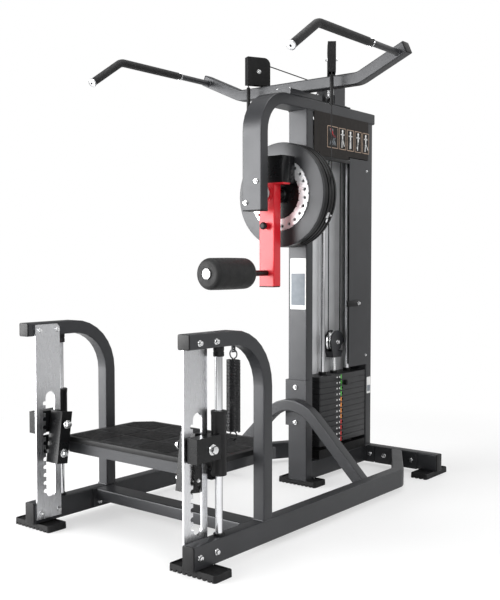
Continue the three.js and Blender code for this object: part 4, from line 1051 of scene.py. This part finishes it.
def make_arm_details():
    """Plunger, roller axle and the padded roller."""
    a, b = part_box("index_plunger")
    mid = (a + b) / 2
    knob = Form()
    profile = [(0.0, 0.0), (0.009, 0.0004), (0.0135, 0.002), (0.0158, 0.0055), (0.016, 0.010),
               (0.0148, 0.0145), (0.011, 0.0175), (0.0085, 0.019), (0.0, 0.019)]
    knob.lathe(profile, (0, a.y, mid.z), Y, 40)
    knob.piece("plunger_knob", "black_plastic", "plunger", ["index_plunger"])
    Form().lathe([(0, 0.0185), (0.006, 0.0185), (0.006, b.y - a.y - 0.003), (0.004, b.y - a.y),
                  (0, b.y - a.y)], (0, a.y, mid.z), Y, 28).piece("plunger_pin", "zinc", "plunger")

    a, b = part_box("roller_axle")
    mid = (a + b) / 2
    pad_low, pad_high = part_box("roller_pad")
    bar = Form()
    bar.lathe([(0, 0.006), (0.0105, 0.006), (0.012, 0.0075), (0.012, b.y - a.y), (0, b.y - a.y)],
              (0, a.y, mid.z), Y, 40)
    start = pad_high.y + 0.0006 - a.y
    bar.lathe([(0.0121, start), (0.0195, start), (0.020, start + 0.0008), (0.020, start + 0.0062),
               (0.0185, start + 0.0074), (0.0121, start + 0.0074)], (0, a.y, mid.z), Y, 40, loop=True)
    bar.piece("roller_axle_bar", "black_paint", "arm", ["roller_axle"])
    cap = Form()
    cap.lathe([(0, 0.0), (0.006, 0.0), (0.0075, 0.0012), (0.0165, 0.0012), (0.0205, 0.0028),
               (0.0215, 0.0050), (0.0215, 0.0074), (0, 0.0074)], (0, a.y, mid.z), Y, 48)
    cap.piece("roller_end_cap", "zinc", "arm")

    radius = (pad_high.x - pad_low.x) / 2
    length = pad_high.y - pad_low.y
    soft = 0.020
    outline = [(0.0130, 0.006), (0.0150, 0.0016), (0.024, 0.0004)]
    outline += [(radius - soft + soft * math.sin(t), soft - soft * math.cos(t))
                for t in (math.pi / 2 * i / 9 for i in range(1, 10))]
    outline += [(radius + 0.0009 * math.sin(math.pi * i / 8), soft + (length - 2 * soft) * i / 8)
                for i in range(1, 8)]
    outline += [(r, length - h) for r, h in reversed(outline[:12])]
    pad = Form().lathe(outline, (0, pad_low.y, mid.z), Y, 72, loop=True)
    pad.piece("roller_foam", "grip_foam", "roller", ["roller_pad"], sharp=60)


def make_counterweight():
    """Block of two steel slabs with a parting line and eased edges."""
    a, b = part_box("counterweight")
    half = (a.y + b.y) / 2
    block = Form()
    block.slab((a.x, a.y, a.z), (b.x, half - 0.0003, b.z), 0.0028, 0.004)
    block.slab((a.x, half + 0.0003, a.z), (b.x, b.y, b.z), 0.0028, 0.004)
    block.piece("counterweight_block", "black_paint", "arm", ["counterweight"])


# ------------------------------------------------------------------ crossbar and handles


def handle_run(side, start_y, drop):
    """Centreline of a handle: level, then bent down at the hands."""
    tube_low, tube_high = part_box(f"handle_tube_{side}")
    bend, angle, corner_y = 0.060, 34.5, -0.620
    x, z = (tube_low.x + tube_high.x) / 2, tube_high.z - 0.018
    tangent = bend * math.tan(math.radians(angle / 2))
    run = Run((x, start_y, z), -Y, X).ahead(start_y - corner_y - tangent, 12)
    return run.turn(bend, angle, 12).ahead(drop, 6)


def make_handles():
    """Bent handle tubes with collars, end caps and foam grips."""
    for side, _ in SIDES:
        tube_y = high(f"handle_tube_{side}").y
        grip_y = high(f"handle_grip_{side}").y
        run = handle_run(side, tube_y, 0.175)
        Form().sweep(run, circle(BAR_R, 28)).piece(
            f"handle_bar_{side}", "frame_paint", replaces=[f"handle_tube_{side}"])
        start = run.stops[0][0]
        collar = Form().lathe([(0.0126, 0), (0.0172, 0), (0.018, 0.0008), (0.018, 0.0032), (0.0172, 0.004),
                               (0.0126, 0.004)], (start.x, grip_y + 0.0003, start.z), Y, 36, loop=True)
        collar.piece(f"handle_collar_{side}", "chrome_steel")
        end, heading = run.stops[-1]
        cap = Form().lathe([(0.005, 0.0), (0.015, 0.0), (0.0172, -0.0012), (0.0175, -0.003),
                            (0.0175, -0.007), (0.0165, -0.0078), (0.012, -0.008), (0.005, -0.008)],
                           end + heading * 0.004, heading, 40, loop=True)
        cap.piece(f"handle_end_cap_{side}", "chrome_steel")
        core = Form().lathe([(0, -0.006), (0.0051, -0.006), (0.0051, 0.0002), (0.003, -0.0012),
                             (0, -0.0012)],
                            end + heading * 0.004, heading, 24)
        core.piece(f"handle_end_core_{side}", "black_plastic")
        make_grip(side, grip_y)
    bush = Form()
    for _, sign in SIDES:
        x = sign * abs(middle("handle_tube_right").x)
        z = high("handle_tube_right").z - 0.018
        bush.lathe([(0.0126, 0), (0.0155, 0), (0.0142, -0.0035), (0.0126, -0.0045)],
                   (x, high("handle_tube_right").y, z), Y, 32, loop=True)
    bush.piece("handle_weld_collars", "frame_paint")


def make_grip(side, grip_y):
    """Foam sleeve: slightly swollen between its ends, with a rounded rim at each end."""
    run = handle_run(side, grip_y, 0.169)
    stops, points = run.stops, 36
    lengths = [0.0]
    for (p, _), (q, _) in zip(stops, stops[1:]):
        lengths.append(lengths[-1] + (q - p).length)
    total = lengths[-1]
    outer = []
    for (point, heading), at in zip(stops, lengths):
        up = run.side.cross(heading)
        swell = 0.0158 + 0.0005 * math.sin(math.pi * at / total)
        outer.append(hoop(point, run.side, up, swell, points))
    caps, bore = [], []
    for index, way in ((0, 1), (-1, -1)):
        point, heading = stops[index]
        up = run.side.cross(heading)
        rings = []
        for radius, along in ((0.0129, 0.003), (0.0131, 0.0004), (0.0145, 0.0), (0.0156, 0.0012)):
            rings.append(hoop(point + heading * along * way, run.side, up, radius, points))
        caps.append(rings)
    for point, heading in reversed(stops[1:-1]):
        up = run.side.cross(heading)
        bore.append(hoop(point, run.side, up, BORE_R, points))
    rings = caps[0] + outer[1:-1] + list(reversed(caps[1])) + bore
    Form().skin(rings, loop=True).piece(
        f"handle_foam_{side}", "grip_foam", replaces=[f"handle_grip_{side}"], sharp=60)


# ------------------------------------------------------------------ step platform


def make_guides():
    """Chrome guide rods with a rubber buffer at the top and a collar at the foot."""
    for side, _ in SIDES:
        a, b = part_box(f"platform_guide_{side}")
        x, y = (a.x + b.x) / 2, (a.y + b.y) / 2
        rod = Form().rod(BAR_R, a.z, b.z, (x, y, 0), Z, 40)
        rod.piece(f"guide_rod_{side}", "chrome_steel", replaces=[f"platform_guide_{side}"])
        top, bottom = b.z, b.z - 0.032
        buffer = [(BORE_R, bottom), (0.0165, bottom), (0.018, bottom + 0.0015), (0.018, top - 0.018),
                  (0.0168, top - 0.016), (0.0168, top - 0.014), (0.018, top - 0.012),
                  (0.018, top - 0.0006), (BORE_R, top - 0.0006)]
        Form().lathe(buffer, (x, y, 0), Z, 36, loop=True).piece(f"guide_buffer_{side}", "foot_rubber")
        base, lip = a.z + 0.0003, a.z + 0.008
        foot_ring = [(BORE_R, base), (0.019, base), (0.019, a.z + 0.006), (0.017, lip), (BORE_R, lip)]
        Form().lathe(foot_ring, (x, y, 0), Z, 36, loop=True).piece(f"guide_foot_{side}", "black_paint")


def make_sleeves():
    """Gloss black bearing sleeves round the guide rods, with a lip at each end."""
    x, y = abs(middle("platform_guide_right").x), middle("platform_guide_right").y
    top, bottom = high("platform_frame").z, high("platform_frame").z - 0.211
    for side, sign in SIDES:
        outline = [(0.0247, bottom), (0.0255, bottom), (0.0262, bottom + 0.001), (0.0262, bottom + 0.010),
                   (0.0253, bottom + 0.012), (0.0253, top - 0.012), (0.0262, top - 0.010),
                   (0.0262, top + 0.0002), (0.0250, top + 0.0016), (0.0145, top + 0.0016),
                   (0.0140, top + 0.0006), (0.0140, top + 0.0003), (0.0247, top + 0.0003)]
        Form().lathe(outline, (sign * x, y, 0), Z, 48, loop=True).piece(
            f"guide_sleeve_{side}", "black_plastic", "platform")


def make_lever_bolts():
    """Big washers and bolts on each lever, its latch dog and the carriage blocks."""
    pivot = Vector(JOINTS["lever_right_release"]["pos_m"])
    low_bolt = pivot + Matrix.Rotation(math.radians(-LEVER_TILT), 3, "X") @ Vector((0, 0.006, -0.108))
    lever, dog = low("release_lever_right").x, high("release_lever_right").x
    pivot_tip, block_face = lever - 0.0112, 0.4212
    fixed = Form()
    for side, sign in SIDES:
        bolts = Form()
        bolt(bolts, (sign * (lever - SEAT), low_bolt.y, low_bolt.z), X * -sign, 0.016)
        bolt(bolts, (sign * (dog + SEAT), pivot.y - 0.023, pivot.z - 0.100), X * sign, 0.006)
        bolts.piece(f"lever_bolts_{side}", "zinc", f"lever_{side}")
        bolt(fixed, (sign * pivot_tip, pivot.y, pivot.z), X * -sign, 0.016)
        bolt(fixed, (sign * block_face, pivot.y + 0.006, pivot.z), X * sign, 0.018)
    fixed.piece("carriage_bolts", "zinc", "platform")


def make_spring():
    """Closed-wound tension spring with a ring loop at each end."""
    a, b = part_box("lift_spring")
    x, y = (a.x + b.x) / 2, (a.y + b.y) / 2
    wire = 0.0023
    bottom, top = a.z + 0.0295, b.z - 0.0335
    radius = (b.x - a.x) / 2 - wire
    coils = round((top - bottom) / (2.08 * wire))
    steps = 20
    rings = []
    for i in range(coils * steps + 1):
        turn = TURN * i / steps
        share = i / (coils * steps)
        out = Vector((math.cos(turn), math.sin(turn), 0))
        point = Vector((x, y, bottom + wire + (top - bottom - 2 * wire) * share)) + out * radius
        rings.append(hoop(point, out, Z, wire, 8))
    spring = Form().skin(rings)
    for end, way, tip in ((top, 1, b.z), (bottom, -1, a.z)):
        loop_radius = 0.015
        centre = Vector((x, y, tip - way * (loop_radius + wire)))
        stops = []
        for i in range(37):
            turn = math.radians(-80 + 340 * i / 36)
            stops.append(centre + Vector((math.cos(turn), 0, way * math.sin(turn))) * loop_radius)
        stops.append(Vector((x - 0.004, y, end - way * 0.004)))
        stops.append(Vector((x - 0.020, y, end - way * 0.006)))
        rings = []
        for i, point in enumerate(stops):
            ahead = (stops[min(i + 1, len(stops) - 1)] - stops[max(i - 1, 0)]).normalized()
            rings.append(hoop(point, Y, Y.cross(ahead), wire, 8))
        spring.skin(rings)
    thing = spring.piece("tension_spring", "spring_wire", replaces=["lift_spring"], ride=False, sharp=60)
    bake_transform(thing)


def make_deck():
    """Rubber deck: rounded slab with panels of raised ribs that run two ways."""
    a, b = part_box("platform_cover")
    corner = 0.060
    skin = 0.0016
    outline = [(a.x, a.y), (b.x, a.y), (b.x, b.y - corner), (b.x - corner, b.y), (a.x + corner, b.y),
               (a.x, b.y - corner)]
    deck = Form().prism(outline, (0, 0, a.z), X, Y, b.z - a.z - skin, 0.003, 3)
    margin, strip = 0.022, 0.014
    columns, rows = 4, 3
    width = (b.x - a.x - 2 * margin - (columns - 1) * strip) / columns
    depth = (b.y - a.y - 2 * margin - (rows - 1) * strip) / rows
    pitch, half = 0.0068, 0.0018
    for i in range(columns):
        for j in range(rows):
            x0 = a.x + margin + i * (width + strip)
            y0 = a.y + margin + j * (depth + strip)
            across = (i + j) % 2 == 0
            span = width if across else depth
            for k in range(int(span / pitch)):
                at = (k + 0.5) * pitch
                low_corner = (x0 + at - half, y0) if across else (x0, y0 + at - half)
                high_corner = (x0 + at + half, y0 + depth) if across else (x0 + width, y0 + at + half)
                if high_corner[1] > b.y - corner and (i in (0, columns - 1)):
                    room = corner - (b.y - high_corner[1]) + margin * 0.6
                    if across:
                        shift = b.x - max(abs(low_corner[0]), abs(high_corner[0]))
                        high_corner = (high_corner[0], min(high_corner[1], b.y - corner + shift - 0.012))
                    elif i == 0:
                        low_corner = (max(low_corner[0], a.x + room), low_corner[1])
                    else:
                        high_corner = (min(high_corner[0], b.x - room), high_corner[1])
                rib(deck, low_corner, high_corner, b.z - skin - 0.0005, b.z)
    deck.piece("deck_mat", "deck_rubber", "platform", ["platform_cover"], sharp=28)


def rib(form, low_corner, high_corner, bottom, top):
    """Raised bar with sloping sides."""
    (x0, y0), (x1, y1) = low_corner, high_corner
    rings = []
    for shrink, z in ((0.0, bottom), (0.0, top - 0.0006), (0.0006, top)):
        rings.append([(x0 + shrink, y0 + shrink, z), (x1 - shrink, y0 + shrink, z),
                      (x1 - shrink, y1 - shrink, z), (x0 + shrink, y1 - shrink, z)])
    form.skin(rings)


# ------------------------------------------------------------------ studio


def add_node(tree, kind, inputs=None, **settings):
    """New node with its settings and the values of its unlinked inputs."""
    made = tree.nodes.new(kind)
    for key, value in settings.items():
        setattr(made, key, value)
    for key, value in (inputs or {}).items():
        made.inputs[key].default_value = value
    return made


def studio_floor():
    """Pale floor that fades to plain white away from the machine."""
    floor = bpy.data.materials.new("studio_floor")
    floor.use_nodes = True
    tree = floor.node_tree
    link = tree.links.new
    paint = tree.nodes["Principled BSDF"]
    paint.inputs["Base Color"].default_value = (0.86, 0.86, 0.86, 1)
    paint.inputs["Roughness"].default_value = 0.6
    place = add_node(tree, "ShaderNodeTexCoord")
    distance = add_node(tree, "ShaderNodeVectorMath", operation="LENGTH")
    fade = add_node(tree, "ShaderNodeMapRange", {"From Min": 1.1, "From Max": 2.4, "To Min": 0.5},
                    interpolation_type="SMOOTHSTEP")
    seen = add_node(tree, "ShaderNodeLightPath")
    share = add_node(tree, "ShaderNodeMath", operation="MULTIPLY")
    white = add_node(tree, "ShaderNodeEmission")
    mix = add_node(tree, "ShaderNodeMixShader")
    link(place.outputs["Object"], distance.inputs[0])
    link(distance.outputs["Value"], fade.inputs["Value"])
    link(fade.outputs[0], share.inputs[0])
    link(seen.outputs["Is Camera Ray"], share.inputs[1])
    link(share.outputs[0], mix.inputs[0])
    link(paint.outputs[0], mix.inputs[1])
    link(white.outputs[0], mix.inputs[2])
    link(mix.outputs[0], tree.nodes["Material Output"].inputs["Surface"])
    mesh = bpy.data.meshes.new("studio_floor")
    size = 30
    corners = [(-size, -size, 0), (size, -size, 0), (size, size, 0), (-size, size, 0)]
    mesh.from_pydata(corners, [], [(0, 1, 2, 3)])
    mesh.materials.append(floor)
    ground = bpy.data.objects.new("studio_floor", mesh)
    bpy.context.scene.collection.objects.link(ground)


def studio_world():
    """Sky that is darker on one side in reflections, and white to the camera."""
    world = bpy.data.worlds.new("studio")
    bpy.context.scene.world = world
    world.use_nodes = True
    tree = world.node_tree
    link = tree.links.new
    sky = tree.nodes["Background"]
    sky.inputs["Strength"].default_value = 1.0
    path = add_node(tree, "ShaderNodeLightPath")
    white = add_node(tree, "ShaderNodeBackground", {"Color": (1, 1, 1, 1), "Strength": 1.0})
    place = add_node(tree, "ShaderNodeTexCoord")
    toward = add_node(tree, "ShaderNodeVectorMath", {1: (0.624, 0.78, 0)}, operation="DOT_PRODUCT")
    shade = add_node(tree, "ShaderNodeMapRange",
                     {"From Min": 0.1, "From Max": 0.85, "To Min": 0.3, "To Max": 1.1},
                     interpolation_type="SMOOTHSTEP")
    choose = add_node(tree, "ShaderNodeMixShader")
    link(place.outputs["Generated"], toward.inputs[0])
    link(toward.outputs["Value"], shade.inputs["Value"])
    link(shade.outputs[0], sky.inputs["Color"])
    link(path.outputs["Is Camera Ray"], choose.inputs[0])
    link(sky.outputs[0], choose.inputs[1])
    link(white.outputs[0], choose.inputs[2])
    link(choose.outputs[0], tree.nodes["World Output"].inputs["Surface"])


def studio_camera():
    """Camera at the catalogue picture's place and angle."""
    camera = bpy.data.cameras.new("camera")
    camera.lens = 52.4
    camera.sensor_width = 36
    camera.clip_end = 100
    eye = bpy.data.objects.new("camera", camera)
    bpy.context.scene.collection.objects.link(eye)
    eye.location = (2.247, -3.19, 1.0)
    heading, pitch = math.radians(38.6), math.radians(-2.56)
    level = math.cos(pitch)
    look = Vector((-math.sin(heading) * level, math.cos(heading) * level, math.sin(pitch)))
    eye.rotation_euler = look.to_track_quat("-Z", "Y").to_euler()
    bpy.context.scene.camera = eye
    bpy.context.scene.view_settings.view_transform = "Standard"


def make_studio():
    """Floor, sky, soft lamps and camera."""
    studio_floor()
    studio_world()
    lamp("key", (-3.4, -4.4, 1.7), (0, -0.2, 1.0), (5.0, 3.4), 620)
    lamp("front", (0.2, -5.2, 2.4), (0, 0, 0.9), (2.2, 2.2), 20)
    lamp("fill", (3.6, -2.6, 2.2), (0, 0, 1.0), (1.4, 1.4), 75)
    lamp("top", (0, -0.3, 4.6), (0, -0.3, 0), (3.0, 3.0), 95)
    studio_camera()


def lamp(name, place, target, size, power):
    """Rectangular area lamp aimed at a point."""
    light = bpy.data.lights.new(name, "AREA")
    light.shape = "RECTANGLE"
    light.size, light.size_y = size
    light.energy = power
    thing = bpy.data.objects.new(name, light)
    bpy.context.scene.collection.objects.link(thing)
    thing.location = place
    thing.rotation_euler = (Vector(target) - Vector(place)).to_track_quat("-Z", "Y").to_euler()


# ------------------------------------------------------------------ the whole machine

finish_cad_nodes()
make_feet()
make_end_caps()
make_frame_bolts()
make_welds()
make_placard()
make_blank_labels()
make_stack()
make_stack_pin()
make_tower_details()
make_cables()
make_rim_cable()
make_cable_clamps()
make_pulleys()
make_cam()
make_arm_details()
make_counterweight()
make_handles()
make_guides()
make_sleeves()
make_lever_bolts()
make_spring()
make_deck()
make_studio()
